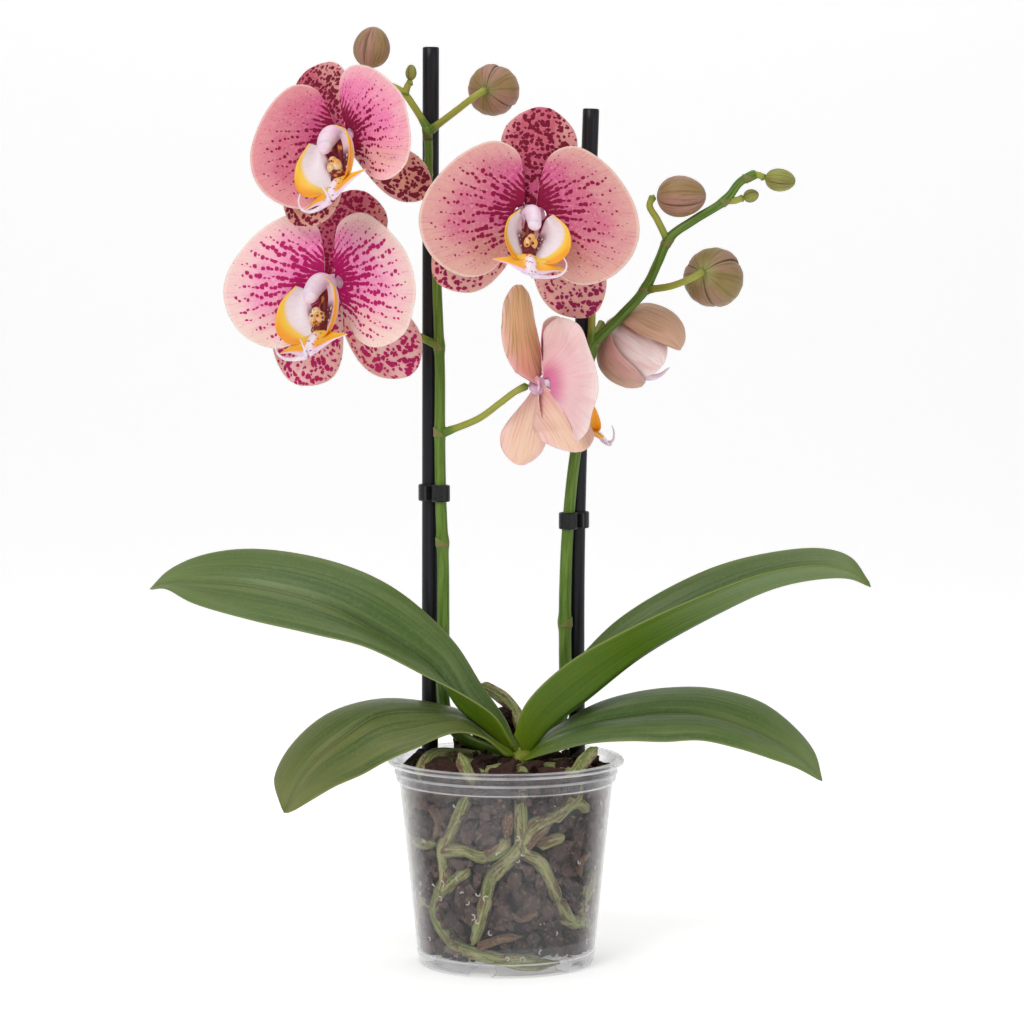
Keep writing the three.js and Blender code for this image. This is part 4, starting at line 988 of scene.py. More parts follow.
def make_bloom(bloom, finishes):
    """Finishes: left petal, right petal, dorsal sepal, side sepals, petal back, dorsal back,
    hub, side sepals' back."""
    form = Form()
    place = bloom_place(bloom["centre"], bloom["yaw"], bloom["roll"], bloom["scale"])
    margin = SIDE_MARGIN if bloom["sepals"][0][4] else PETAL_MARGIN
    for index, side in enumerate((-1, 1)):
        sweep, tilt = bloom["petals"][index], bloom["tilts"][index]
        form.blade(petal_surface(side, sweep, tilt, index + len(bloom["name"]), margin), 30, 80,
                   thin_edge(0.75), (4, index), place, petal_maps(side, margin))
    for number, sepal in enumerate(bloom["sepals"]):
        faces, widths = (3, 7) if number else (2, 5), SEPAL_WIDTHS
        if sepal[4] and not number:
            faces, widths = faces[::-1], NARROW_WIDTHS
        form.blade(sepal_surface(sepal, number + 3.0, widths), 34, 20, thin_edge(0.75), faces, place,
                   sepal_maps(sepal, number))
    form.ball((0, 0, HUB_DEPTH), [radius * HUB_SHARE for radius in HUB_RADII], 6, place=place)
    form.ball((0, 0.6, HUB_DEPTH - 0.8), (7.4, 4.8, 1.6), 6, place=place)
    return form.make(bloom["name"] + "_flower", finishes)


def ear_surface(side):
    """One ear of the lip, curving forward from the throat round the side of the column."""
    inner = [(1, -21, 9.5), (3, -15, 7), (5.6, -8, 5.5), (7.0, -2, 6)]
    outer = [(4, -24.5, 14), (13, -22.5, 16.5), (19.2, -14.5, 15.5), (17.6, -4.5, 12), (9.5, 1.6, 9)]

    def surface(u, v):
        point = rail_point(inner, v).lerp(rail_point(outer, v), u)
        point.z -= 4.2 * sin(pi * u) * (0.6 + 0.4 * sin(pi * v))
        point.x *= side
        return point
    return surface


# Across the lip's middle lobe, from its middle to the point of a wing: its back and front margins.
TONGUE_BACK = [(0, -20, 9), (4, -21, 10.5), (8.5, -22.3, 12.5), (12.5, -23.6, 13.8), (19.8, -25.6, 14.8)]
TONGUE_FRONT = [(0, -31.5, 20.5), (4, -30.5, 19.6), (8.5, -28.5, 18), (13, -26.8, 16.2), (19.8, -25.8, 14.9)]


def tongue_surface(u, v):
    """The lip's middle lobe: two flat pointed wings, with a raised crest between them."""
    side = v * 2 - 1
    back, front = rail_point(TONGUE_BACK, abs(side)), rail_point(TONGUE_FRONT, abs(side))
    point = back.lerp(front, u)
    crest = 2.3 * exp(-(side * 6) ** 2) * sin(pi * min(u * 0.9 + 0.1, 1))
    droop = 1.2 * sin(pi * u) * sin(pi * abs(side))
    return Vector((copysign(point.x, side), point.y + crest - 0.5 * droop,
                   point.z + crest * 0.6 + droop))


# The lip's parts in the middle, and its tendrils: a long hooked one and a short one.
COLUMN_PATH = [(0, 0, -3.4), (0, 1.0, 4), (0, -1.8, 8.6), (0, -4.6, 11.4)]
CLAW_PATH = [(0, -2, 2.3), (0, -12, 4), (0, -20.6, 10)]
HOOK_PATH = [(0, -31.0, 20.6), (4, -30.9, 20.4), (8.5, -30.4, 20), (13.6, -29.0, 19.6), (17.2, -25.6, 19.4),
             (17.4, -22.0, 19.0), (15.6, -19.6, 18.6)]
THREAD_PATH = [(0, -30.8, 20.6), (-1.6, -29.6, 22.4), (-1.8, -26.6, 23.4), (-0.6, -23.4, 23.4)]


def make_lip(bloom, finishes):
    """Finishes: ears, middle lobe, column, throat, callus, tendrils."""
    form = Form()
    roll, scale, yaw, long_side, raised = bloom["lip"]
    front = (HUB_DEPTH + HUB_RADII[2]) * bloom["scale"] + LIP_GAP + 0.15 * abs(yaw)
    hub = bloom_place(bloom["centre"], bloom["yaw"], 0, 1.0, front)
    turn = turned(yaw, "Y") @ turned(roll + bloom["roll"], "Z") @ turned(-raised, "X")
    place = hub @ turn @ Matrix.Scale(scale, 4)
    column = spaced_points(COLUMN_PATH, 0.8)
    swell = [3.4 + 0.8 * sin(pi * k / (len(column) - 1)) for k in range(len(column))]
    form.tube(column, swell, 2, 20, place)
    form.ball((0, -5.0, 11.4), (3.5, 3.1, 2.7), 2, place=place)
    claw = spaced_points(CLAW_PATH, 1.5)
    form.tube(claw, tapered(claw, 2.4, 3.6), 3, 16, place)
    for side in (-1, 1):
        wide = 1.0 if side == long_side else 0.8
        form.blade(ear_surface(side * wide), 24, 34, thin_edge(0.8), (0, 0), place)
        form.ball((side * 1.8, -14.4, 9.6), (1.8, 2.9, 2.2), 4, place=place)
    for curl, thick, thin in ((HOOK_PATH, 1.3, 0.3), (THREAD_PATH, 0.8, 0.2)):
        path = spaced_points([(long_side * x, y, z) for x, y, z in curl], 0.7)
        form.tube(path, tapered(path, thick, thin, 0.8), 5, 10, place)
    form.ball((0, -11.8, 9.4), (2.0, 2.2, 2.0), 4, place=place)
    form.blade(tongue_surface, 20, 48, thin_edge(0.9), (1, 1), place)
    return form.make(bloom["name"] + "_lip_column", finishes)


# ---- Half-open bloom and buds ----

OPENING_BASE, OPENING_AXIS, OPENING_OUT = (50.5, 24, 324), (0.82, -0.08, -0.57), (0.57, 0, 0.82)
# Each sepal's turn round the axis, then stops along it: length, margin, ridge and half depth.
OPENING_SEPALS = [
    (0, [(0.5, 1.5, 3.5, 3), (3, 5, 9, 7), (7, 6.2, 16.5, 11.5), (12, 6.2, 21.5, 14), (19.8, 6.8, 24.2, 15),
         (26.6, 8.6, 24.4, 14), (32.8, 9.8, 22.2, 11.5), (37, 10.8, 18.0, 8), (38.6, 11.6, 14.5, 3.5)]),
    (180, [(0, 1, 3, 3), (2, 1.5, 8.5, 7), (5.2, 1.7, 14, 10.5), (10.8, 5.6, 18.8, 13), (18, 7.6, 20.6, 13.5),
           (25, 8.6, 19.6, 12), (29, 9.4, 17.9, 9), (32.4, 10.8, 15.0, 5), (33.4, 11.8, 13.6, 2)]),
    (-90, [(0, 1, 3, 3), (3, 3, 9, 8), (8, 5, 14, 12), (16, 7, 17, 14), (24, 8, 17, 12.5), (31, 9, 14, 8),
           (34, 10, 11.5, 2.5)]),
]

# Each bud: its foot, the way it points, its length, radius and spin.
BUDS = [
    ("bud_left_high", (-69.4, 4.9, 453.6), (0.18, 0, 1), 20.7, 9.8, -1.9),
    ("bud_left_tip", (-48.1, 8, 447.4), (0.05, 0, 1), 8, 3, 0),
    ("bud_left_right", (-10.4, -0.7, 442.4), (0.3, 0.9, 0.05), 27, 13.8, 0.4),
    ("bud_right_high", (75.9, 10, 389.4), (1, 0, 0.02), 25, 11.2, -1.05),
    ("bud_right_low", (99.4, 5.4, 351.5), (0.42, 0.86, -0.2), 31, 16.2, 1.0),
    ("bud_right_far", (130.5, 8, 398.8), (1, 0, -0.12), 15.5, 6.2, -1.2),
    ("bud_right_tip", (119.7, 9, 388.8), (0.95, 0, 0.25), 8, 3.6, 0),
]
BUD_GAP = 0.35


def axis_place(base, axis, spin=0.0):
    turn = Vector((0, 0, 1)).rotation_difference(Vector(axis).normalized()).to_matrix().to_4x4()
    return Matrix.Translation(Vector(base)) @ turn @ Matrix.Rotation(spin, 4, "Z")


def bud_shape(length, radius):
    """Round near its foot and drawn in towards its tip, of three ribbed sepals that overlap."""
    def shape(p):
        height = (p.z + 1) / 2
        part = atan2(p.y, p.x) * 1.5 / pi % 1
        fade = sin(pi * min(height * 1.1, 1))
        seam = 1 - 0.09 * exp(-(min(part, 1 - part) / 0.04) ** 2) * fade
        lap = 1 + 0.05 * (part - 0.5) * fade
        rib = 1 + 0.01 * cos(part * 2 * pi * 5) * fade
        swell = radius * (1.02 - 0.16 * height) * seam * lap * rib
        return Vector((p.x * swell, p.y * swell, height * length))
    return shape


def make_bud(bud, finish):
    name, base, axis, length, radius, spin = bud
    form = Form()
    raised = Vector(axis).normalized() * BUD_GAP + Vector(base)
    form.ball((0, 0, 0), (1, 1, 1), 0, 84, 40, bud_shape(length, radius), axis_place(raised, axis, spin))
    return form.make(name + "_skin", [finish])


def cupped_surface(turn, stops):
    """A shell-shaped sepal that arches from one of its margins over its ridge to the other."""
    spin = Matrix.Rotation(radians(turn), 3, "Z")

    def surface(u, v):
        along, margin, ridge, deep = even_spline(stops, u)
        angle = pi * v
        crease = 0.5 * exp(-((v - 0.5) * 12) ** 2) - 0.35 * exp(-((abs(v - 0.5) - 0.3) * 16) ** 2)
        reach = lerp(margin, ridge + crease, sin(angle))
        return spin @ Vector((reach, deep * cos(angle), along))
    return surface


def heart_shape(p):
    """Closed petals wrapped round each other: a blunt round body with one long fold."""
    turn = atan2(p.y, p.x)
    fold = 1 - 0.07 * exp(-((turn - 1.1 - 0.5 * p.z) * 5) ** 2) + 0.02 * sin(3 * turn + 2 * p.z)
    blunt_end = 1 + 0.16 * smooth(0.3, 0.9, p.z)
    return Vector((p.x * fold * blunt_end, p.y * fold * blunt_end, p.z))


def opening_place():
    """Local axes of the half-open bloom: outwards to the upper right, back and along its axis."""
    axis = Vector(OPENING_AXIS).normalized()
    out = (Vector(OPENING_OUT) - axis * axis.dot(Vector(OPENING_OUT))).normalized()
    turn = Matrix((out, axis.cross(out), axis)).transposed().to_4x4()
    return Matrix.Translation(Vector(OPENING_BASE)) @ turn


def make_opening(finishes):
    """Finishes: closed petals, backs and faces of the sepals, lip."""
    form = Form()
    place = opening_place()
    form.ball((0, 0, 19), (13.2, 13.2, 17), 0, 64, 44, heart_shape, place)
    form.ball((0, 0, 4.3), (6.2, 6.2, 4.5), 1, place=place)
    for sepal in OPENING_SEPALS:
        form.blade(cupped_surface(*sepal), 34, 36, thin_edge(1.0), (1, 2), place)
    tip = spaced_points([(-9.5, -2, 29), (-8.6, -3, 34), (-4.5, -3, 37.6), (1.2, -2, 39.4)], 0.8)
    form.tube(tip, tapered(tip, 2.4, 0.4), 3, 14, place)
    return form.make("bloom_opening_cup", finishes)


# ---- Leaves ----

# Three rails from the base to the tip: the back margin, the midrib and the front margin.
LEAVES = [
    ("leaf_upper_left", (1.2, 1.2),
     [(4, -3, 114), (0, -3, 124), (-12, -5, 142), (-27, -3, 165), (-56, -1, 191), (-87, 7, 204),
      (-129, 16, 210), (-157, 22, 206), (-174, 23, 198), (-182, 21, 190)],
     [(8, -9, 106), (-9, -12, 120), (-23, -14, 132), (-37, -15, 152), (-65, -11, 170), (-94, -6, 184),
      (-130, 2, 192), (-159, 11, 193), (-174, 17, 192), (-183, 20, 189)],
     [(2, -15, 115), (-5, -21, 128), (-19, -27, 139), (-41, -32, 151), (-70, -31, 165), (-97, -26, 171),
      (-130, -14, 177), (-159, -2, 184), (-174, 10, 190), (-182, 18, 189)]),
    ("leaf_upper_right", (1.2, 0.6),
     [(8, -2, 115), (12, 2, 129), (32, 2, 150), (58, 2, 176), (100, 0, 200), (131, 0, 209),
      (160, -4, 212), (174, -11, 208), (182, -18, 197)],
     [(10, -9, 106), (20, -12, 120), (41, -12, 137), (69, -12, 159), (108, -13, 181), (135, -14, 193),
      (159, -16, 198), (173, -18, 198), (183, -20, 194)],
     [(4, -14, 118), (10, -20, 135), (30, -22, 155), (61, -30, 174), (100, -34, 192), (131, -35, 203),
      (157, -33, 206), (171, -29, 203), (182, -22, 197)]),
    ("leaf_lower_right", (1.5, 3),
     [(14, -4, 112), (22, -1, 118), (44, 4, 131), (64, 6, 137), (85, 5, 140), (105, 1, 140),
      (129, -5, 134), (145, -14, 123), (155, -22, 111), (158, -33, 99)],
     [(12, -12, 107), (21, -13, 115), (42, -12, 123), (63, -13, 127), (82, -15, 129), (101, -18, 128),
      (122, -22, 122), (137, -27, 115), (149, -31, 107), (158, -34, 98)],
     [(9, -20, 106), (20, -24, 110), (42, -28, 116), (62, -33, 118), (79, -36, 118), (97, -38, 119),
      (116, -39, 115), (132, -40, 110), (145, -38, 105), (156, -36, 99)]),
    ("leaf_lower_left", (1.5, 1.5),
     [(0, -8, 112), (-7, -3, 119), (-20, 2, 127), (-43, 5, 133), (-66, 5, 134), (-91, 1, 127),
      (-109, -5, 112), (-117, -14, 97), (-114, -27, 87), (-112, -33, 84)],
     [(4, -13, 107), (-8, -13, 115), (-22, -12, 127), (-44, -12, 130), (-65, -13, 128), (-81, -16, 118),
      (-96, -21, 106), (-105, -27, 94), (-110, -32, 84), (-111, -34, 82)],
     [(0, -18, 108), (-11, -23, 118), (-25, -25, 121), (-46, -26, 113), (-60, -28, 107),
      (-72, -33, 101), (-85, -38, 96), (-96, -41, 90), (-105, -37, 84), (-109, -35, 82)]),
]
LEAF_THICK, LEAF_THIN = 2.2, 0.9


def leaf_surface(camber, back, middle, front):
    def surface(u, v):
        low, rib, high = rail_point(back, u), rail_point(middle, u), rail_point(front, u)
        across = v * 2 - 1
        reach = (low if across < 0 else high) - rib
        tangent = rail_point(middle, min(u + 1e-3, 1)) - rail_point(middle, max(u - 1e-3, 0))
        normal = (high - low).cross(tangent).normalized()
        if normal.z < 0:
            normal.negate()
        arch = camber[0 if across < 0 else 1] * sin(pi * abs(across)) * sin(pi * u)
        groove = 0.5 * exp(-(across * 9) ** 2) * sin(pi * min(u * 1.5, 1))
        return rib + reach * abs(across) + normal * (arch - groove)
    return surface


def make_leaf(leaf, finishes):
    name, camber, back, middle, front = leaf
    form = Form()

    def thickness(u, v):
        full = lerp(LEAF_THICK, LEAF_THIN, sqrt(u))
        return full * (1 - 0.6 * max(abs(v * 2 - 1) ** 10, u ** 24))
    form.blade(leaf_surface(camber, back, middle, front), 110, 32, thickness, (0, 1))
    upward = sum(form_normal(form, face).z for face in form.faces[0:3000:10])
    if upward < 0:
        form.finishes = [1 - mark for mark in form.finishes]
    return form.make(name + "_blade", finishes)


def form_normal(form, face):
    a, b, c = (form.points[k] for k in face[:3])
    return (b - a).cross(c - a).normalized()


# ---- Swept stems: roots, spikes and stalks, by one node tree that follows a curve ----

def noted(tree, geometry, title, kind, value):
    """Stores a value on the points under a name that finishes can read."""
    note = tree.nodes.new("GeometryNodeStoreNamedAttribute")
    note.data_type = kind
    note.inputs["Name"].default_value = title
    tree.links.new(geometry, note.inputs["Geometry"])
    tree.links.new(value, note.inputs["Value"])
    return note.outputs[0]


def open_tree(title, **inputs):
    """A new node tree that takes geometry and the named inputs, and their sockets' identifiers."""
    tree = bpy.data.node_groups.new(title, "GeometryNodeTree")
    tree.interface.new_socket("Geometry", in_out="INPUT", socket_type="NodeSocketGeometry")
    sockets = [tree.interface.new_socket(name, in_out="INPUT", socket_type="NodeSocket" + kind)
               for name, kind in inputs.items()]
    tree.interface.new_socket("Geometry", in_out="OUTPUT", socket_type="NodeSocketGeometry")
    return tree, [socket.identifier for socket in sockets]


def end_tree(tree, geometry, start):
    """Ends a tree with real geometry in the skin that it is given."""
    real = tree.nodes.new("GeometryNodeRealizeInstances")
    finish = tree.nodes.new("GeometryNodeSetMaterial")
    tree.links.new(geometry, real.inputs["Geometry"])
    tree.links.new(real.outputs["Geometry"], finish.inputs["Geometry"])
    tree.links.new(start.outputs["Skin"], finish.inputs["Material"])
    tree.links.new(finish.outputs["Geometry"], tree.nodes.new("NodeGroupOutput").inputs[0])


def sweep_tree():
    """A node tree that sweeps a round section along a curve, as wide as its own radius."""
    tree, inputs = open_tree("round_stem", Sides="Int", Skin="Material")
    nodes, links = tree.nodes, tree.links
    start = nodes.new("NodeGroupInput")
    ring = nodes.new("GeometryNodeCurvePrimitiveCircle")
    ring.inputs["Radius"].default_value = 1.0
    links.new(start.outputs["Sides"], ring.inputs["Resolution"])
    sweep = nodes.new("GeometryNodeCurveToMesh")
    sweep.inputs["Fill Caps"].default_value = True
    width = nodes.new("GeometryNodeInputRadius").outputs[0]
    if "Scale" in sweep.inputs:
        links.new(width, sweep.inputs["Scale"])
    thin = nodes.new("ShaderNodeMapRange")
    for socket, number in zip(thin.inputs[1:5], (2.05 * MM, 1.8 * MM, 0.0, 1.0)):
        socket.default_value = number
    links.new(width, thin.inputs[0])
    length, spot = nodes.new("GeometryNodeSplineParameter"), nodes.new("GeometryNodeInputPosition")
    path = noted(tree, start.outputs["Geometry"], "along", "FLOAT", length.outputs["Length"])
    path = noted(tree, path, "slender", "FLOAT", thin.outputs[0])
    section = noted(tree, ring.outputs["Curve"], "around", "FLOAT_VECTOR", spot.outputs[0])
    links.new(path, sweep.inputs["Curve"])
    links.new(section, sweep.inputs["Profile Curve"])
    end_tree(tree, sweep.outputs["Mesh"], start)
    return tree, *inputs


SWEEP_TREE, SIDES_INPUT, SKIN_INPUT = sweep_tree()


def final_mesh(piece):
    """A plain mesh of a piece as its modifier leaves it."""
    bpy.context.view_layer.update()
    ready = piece.evaluated_get(bpy.context.evaluated_depsgraph_get())
    return bpy.data.meshes.new_from_object(ready)


def grown(name, data, tree, inputs):
    """What a tree makes of the data, as a plain piece. Inputs go by their sockets' identifiers."""
    carrier = placed(name + "_carrier", data)
    modifier = carrier.modifiers.new("growth", "NODES")
    modifier.node_group = tree
    for socket, value in inputs.items():
        modifier[socket] = value
    mesh = final_mesh(carrier)
    mesh.name = name
    bpy.data.objects.remove(carrier)
    mesh.polygons.foreach_set("use_smooth", [True] * len(mesh.polygons))
    return placed(name, mesh)


def swept(name, stems, skin, sides):
    """One mesh for many stems, each a list of points and a radius for each point."""
    curve = bpy.data.curves.new(name + "_path", "CURVE")
    curve.dimensions = "3D"
    for points, radii in stems:
        line = curve.splines.new("POLY")
        line.points.add(len(points) - 1)
        for spot, point, radius in zip(line.points, points, radii):
            spot.co = (*(point * MM), 1)
            spot.radius = radius * MM
    return close_up(grown(name, curve, SWEEP_TREE, {SIDES_INPUT: sides, SKIN_INPUT: skin}))


def blunt(points, radii):
    """Closes a stem's ends with a short round nose."""
    nose = [(0.0, 0.0), (0.45, 0.6), (0.8, 0.88)]
    first, last = (points[0] - points[1]).normalized(), (points[-1] - points[-2]).normalized()
    head = [points[0] + first * radii[0] * (0.8 - back) for back, _ in nose]
    tail = [points[-1] + last * radii[-1] * (0.8 - back) for back, _ in reversed(nose)]
    head_radii = [max(radii[0] * width, 0.02) for _, width in nose]
    tail_radii = [max(radii[-1] * width, 0.02) for _, width in reversed(nose)]
    return head[:2] + points + tail[1:], head_radii[:2] + radii + tail_radii[1:]


# ---- Pot ----

POT = {"body_top": 54.3, "body_top_z": 93, "foot": 44.6, "wall": 0.9}
# Rings of the wall given a pale, less clear finish that paints bright highlight lines: least radius, lowest
# and highest place. Then the rim's corners, painted bright the same way.
HIGHLIGHT_RINGS = [(56.5, 97.5, 98.5), (44, 6.5, 6.7), (59, 102, 103)]
HIGHLIGHT_CORNERS = ((54.6, 93.0), (59.8, 104.5), (56.6, 105.0))
NOTCH_ANGLES = (-18, 54, 126, 198, 270)
NOTCH_HALF, NOTCH_HEIGHT = 7.0, 5.0
DRAIN_HOLES, DRAIN_RING, DRAIN_RADIUS = 6, 20, 3.5


def wall_radius(z):
    return POT["foot"] + (POT["body_top"] - POT["foot"]) * z / POT["body_top_z"]


def inner_radius(z):
    return wall_radius(z) - POT["wall"]


def pot_profile():
    """The pot's section, from the middle of its floor outside, over the rim and back inside."""
    outside = [(0.01, 6.0), (33, 6.0), (34.2, 5.4), (35.4, 1.2), (36.6, 0.25), (38, 0.0), (42.8, 0.0),
               (44.0, 0.3), (44.5, 1.0)]
    outside += [(wall_radius(z), z) for z in (4, 6.2)]
    outside += [(wall_radius(6.6) + 0.35, 6.6), (wall_radius(7.2), 7.3)]
    outside += [(wall_radius(z), z) for z in (15, 30, 45, 60, 75, 88, 92)]
    outside += [(54.6, 93.0), (55.6, 93.8), (56.0, 94.6), (56.1, 97.2), (56.9, 97.7), (56.9, 98.3),
                (56.1, 98.8), (56.1, 101.6), (56.6, 102.1), (59.2, 102.2), (60.0, 102.7),
                (60.1, 103.6), (59.8, 104.5), (59.0, 105.0), (56.6, 105.0), (55.6, 104.6)]
    inside = [(55.2, 103.8), (55.2, 95.0), (54.8, 94.4), (inner_radius(92), 92)]
    inside += [(inner_radius(z), z) for z in (88, 75, 60, 45, 30, 15, 7, 2)]
    inside += [(inner_radius(1) - 0.4, 1.1), (43.0, 1.0), (37.6, 1.0), (36.6, 1.8), (35.2, 6.2),
               (34, 7.0), (0.01, 7.0)]
    return outside, inside


def make_pot(finishes):
    outside, inside = pot_profile()
    profile = outside + inside
    marks = []
    for radius, z in profile:
        # Faces at the highlight rings and corners take finish 2, which paints highlight lines.
        ridge = (radius, z) in HIGHLIGHT_CORNERS
        ridge = ridge or any(radius > least and low < z < high for least, low, high in HIGHLIGHT_RINGS)
        rim = z > 92.5 or (z < 7.4 and radius > 34)
        marks.append(2 if ridge else 1 if rim else 0)
    form = Form()
    form.lathe(profile, 160, marks)
    pot = close_up(form.make("pot_shell", finishes))
    # The cut faces of the notches and drain holes take the painted highlight finish as well.
    cut_notches(pot, finishes[2])
    return pot


def notch_blocks(edges):
    """Wedges for the foot's drain notches, widest at their foot, and rods for the floor's holes."""
    body = bmesh.new()
    for angle in NOTCH_ANGLES:
        corners = [(-NOTCH_HALF, -1), (NOTCH_HALF, -1), (NOTCH_HALF - 1.5, NOTCH_HEIGHT),
                   (1.5 - NOTCH_HALF, NOTCH_HEIGHT)]
        turn = turned(angle, "Z")
        near = [body.verts.new((turn @ Vector((x, -POT["foot"] - 2, z))) * MM) for x, z in corners]
        far = [body.verts.new((turn @ Vector((x, -POT["foot"] + 10, z))) * MM) for x, z in corners]
        body.faces.new(near[::-1])
        body.faces.new(far)
        for k in range(4):
            n = (k + 1) % 4
            body.faces.new((near[k], near[n], far[n], far[k]))
    for k in range(DRAIN_HOLES):
        turn = 2 * pi * k / DRAIN_HOLES
        place = Vector((DRAIN_RING * cos(turn), DRAIN_RING * sin(turn), 6)) * MM
        bmesh.ops.create_cone(body, cap_ends=True, segments=24, radius1=DRAIN_RADIUS * MM,
                              radius2=DRAIN_RADIUS * MM, depth=4 * MM, matrix=Matrix.Translation(place))
    blocks = solid_piece(body, "notch_blocks")
    blocks.data.materials.append(edges)
    return blocks


def cut_notches(pot, edges):
    blocks = notch_blocks(edges)
    cut = pot.modifiers.new("notches", "BOOLEAN")
    cut.object = blocks
    cut.operation = "DIFFERENCE"
    cut.solver = "EXACT"
    cut.material_mode = "TRANSFER"
    mesh = final_mesh(pot)
    pot.modifiers.clear()
    pot.data = mesh
    bpy.data.objects.remove(blocks)


# ---- Roots and bark ----

ROOT_RADIUS, ROOT_WALL_GAP, ROOT_ENTRY = 3.5, 0.9, 0.95
CROWN = (8, -8, 100.9)
# Each root's stops down the inside of the wall: angle from the front in degrees, and height.
WALL_ROOTS = [
    [(9, 92), (9, 75), (11, 64), (21, 59), (29, 49), (39, 35)],
    [(-24, 92), (-30, 80), (-36, 72), (-43, 64), (-42, 50), (-50, 40), (-56, 30), (-47, 20),
     (-36, 14), (-19, 11), (-4, 9), (14, 6), (42, 5.2)],
    [(-78, 90), (-90, 76), (-93, 60), (-88, 44), (-75, 36), (-62, 30)],
    [(50, 92), (42, 88), (30, 82), (16, 77), (7, 65), (-2, 58), (-9, 52), (-13, 42), (-16, 33),
     (-24, 17)],
    [(86, 92), (94, 70), (88, 52), (70, 44), (62, 38), (64, 28), (78, 20)],
    [(140, 92), (147, 70), (136, 48), (142, 26)],
    [(180, 92), (172, 68), (184, 44), (176, 20)],
    [(222, 92), (212, 70), (228, 46), (220, 22)],
]
SIDE_ROOTS = [
    [(-42, 63), (-25, 64), (-15, 62), (-6, 64), (2, 71)],
    [(38, 36), (52, 25), (66, 24), (86, 17)],
]
# Short pieces at the wall: radius, then stops as above. The brown ones are old and dry.
ROOT_PIECES = [
    (3.3, [(-26, 53.7), (-35, 48.4), (-47, 40.6)]), (3.0, [(-12, 40.2), (-17, 27.4), (-24, 15.7)]),
    (3.1, [(22, 67.8), (30, 69.4), (38, 70.8)]), (3.2, [(31, 80), (38, 85.1), (47, 86.8), (59, 81.3)]),
    (2.9, [(-7, 51.6), (-2, 56.1), (5, 61.4)]), (3.3, [(-8, 8.6), (6, 8.9), (24, 8.9)]),
    (2.8, [(40, 27.9), (56, 24.5), (75, 21.5), (88, 14)]), (3.2, [(76, 45), (71, 40.2), (63, 34)]),
    (3.0, [(-84, 91), (-79, 84.4), (-77, 75)]), (3.0, [(-88, 61.7), (-61, 64.1), (-49, 65.6)]),
    (3.1, [(-72, 34), (-86, 23.5), (-86, 14)]),
]
DRY_PIECES = [
    (3.0, [(1, 84), (1, 77.6), (0, 71)]), (2.8, [(12, 67), (20, 73), (28, 78)]),
    (2.9, [(-17, 60.5), (-8, 65.2), (0, 70.5)]), (2.4, [(-18, 15.5), (-4, 19.5), (11, 21)]),
    (2.2, [(-45, 12.6), (-36, 11.6), (-28, 12.0), (-12, 8.4)]), (2.4, [(-48, 84), (-44, 76), (-50, 68)]),
    (2.3, [(60, 60), (52, 55), (56, 48)]), (2.2, [(20, 33), (10, 30), (4, 33)]),
]
AIR_ROOTS = [
    [(4, -7, 101), (-18, 0, 105), (-36, -14, 108), (-42, -25, 104), (-43, -26, 97.5)],
    [(9, -3, 101), (9, 10, 116), (3, 20, 128), (-7, 26, 135.5), (-14, 30, 138)],
    [(10, -9, 101), (24, -24, 101), (33.5, -34.5, 101.5), (38.5, -33, 107.5), (45.5, -25.5, 113.5)],
    [(6, -9, 101), (-8, -30, 101), (-17, -42, 100), (-20, -44, 105), (-23, -42, 113)],
]


def wall_stop(stop, thickness=ROOT_RADIUS):
    angle, z = stop
    radius = inner_radius(z) - thickness - ROOT_WALL_GAP
    turn = radians(angle)
    return Vector((radius * sin(turn), -radius * cos(turn), z))


def root_paths():
    paths = []
    for stops in WALL_ROOTS:
        wall = [wall_stop(stop) for stop in stops]
        first = wall[0]
        shoulder = Vector((lerp(CROWN[0], first.x, 0.8), lerp(CROWN[1], first.y, 0.8), CROWN[2] - 1))
        entry = Vector((first.x * ROOT_ENTRY, first.y * ROOT_ENTRY, first.z))
        paths.append([Vector(CROWN), shoulder, entry] + wall[1:])
    paths += [[wall_stop(stop) for stop in stops] for stops in SIDE_ROOTS]
    return paths + [[Vector(p) for p in path] for path in AIR_ROOTS]


def lumpy_stem(path, thickness, seed, end_from):
    """Points along a root and its uneven radii, with a tapering end."""
    points = spaced_points(path, 1.4)
    count = len(points) - 1
    radii = []
    for k, point in enumerate(points):
        taper = lerp(1.0, 0.9, k / count) * (1 - 0.7 * smooth(end_from, 1.0, k / count))
        lump = 1 + 0.16 * noise.noise(point * 0.13 + Vector((seed, 0, 0))) + 0.05 * noise.noise(point * 0.6)
        radii.append(thickness * taper * lump)
    return blunt(points, radii)


def short_roots(pieces, seed, end_from):
    """Loose pieces of root at the wall, each uneven in its own way."""
    return [lumpy_stem([wall_stop(stop, thick) for stop in stops], thick, number + seed, end_from)
            for number, (thick, stops) in enumerate(pieces)]


def root_hair(rng):
    """A small pale root hair that curls at the wall."""
    angle, z = rng.uniform(-85, 85), rng.uniform(8, 92)
    size, start, sweep = rng.uniform(0.8, 1.9), rng.uniform(0, 6.28), rng.uniform(2.5, 4.6)
    points = []
    for k in range(12):
        turn = start + sweep * k / 11
        drift = size * (1 - 0.35 * k / 11)
        around = angle + degrees(drift * cos(turn) / 50)
        points.append(wall_stop((around, z + drift * sin(turn)), 0.1))
    return points, [0.3] * 12


def make_roots(skin, dry_skin, hair_skin):
    stems = [lumpy_stem(path, ROOT_RADIUS * 1.06, number, 0.93)
             for number, path in enumerate(root_paths())]
    stems += short_roots(ROOT_PIECES, 40, 0.85)
    dry = short_roots(DRY_PIECES, 70, 0.7)
    rng = random.Random(12)
    hairs = [root_hair(rng) for _ in range(44)]
    seat(swept("roots_skin", stems, skin, 18), "roots", "roots")
    seat(swept("roots_dry", dry, dry_skin, 16), "roots")
    seat(swept("roots_hair", hairs, hair_skin, 6), "roots")


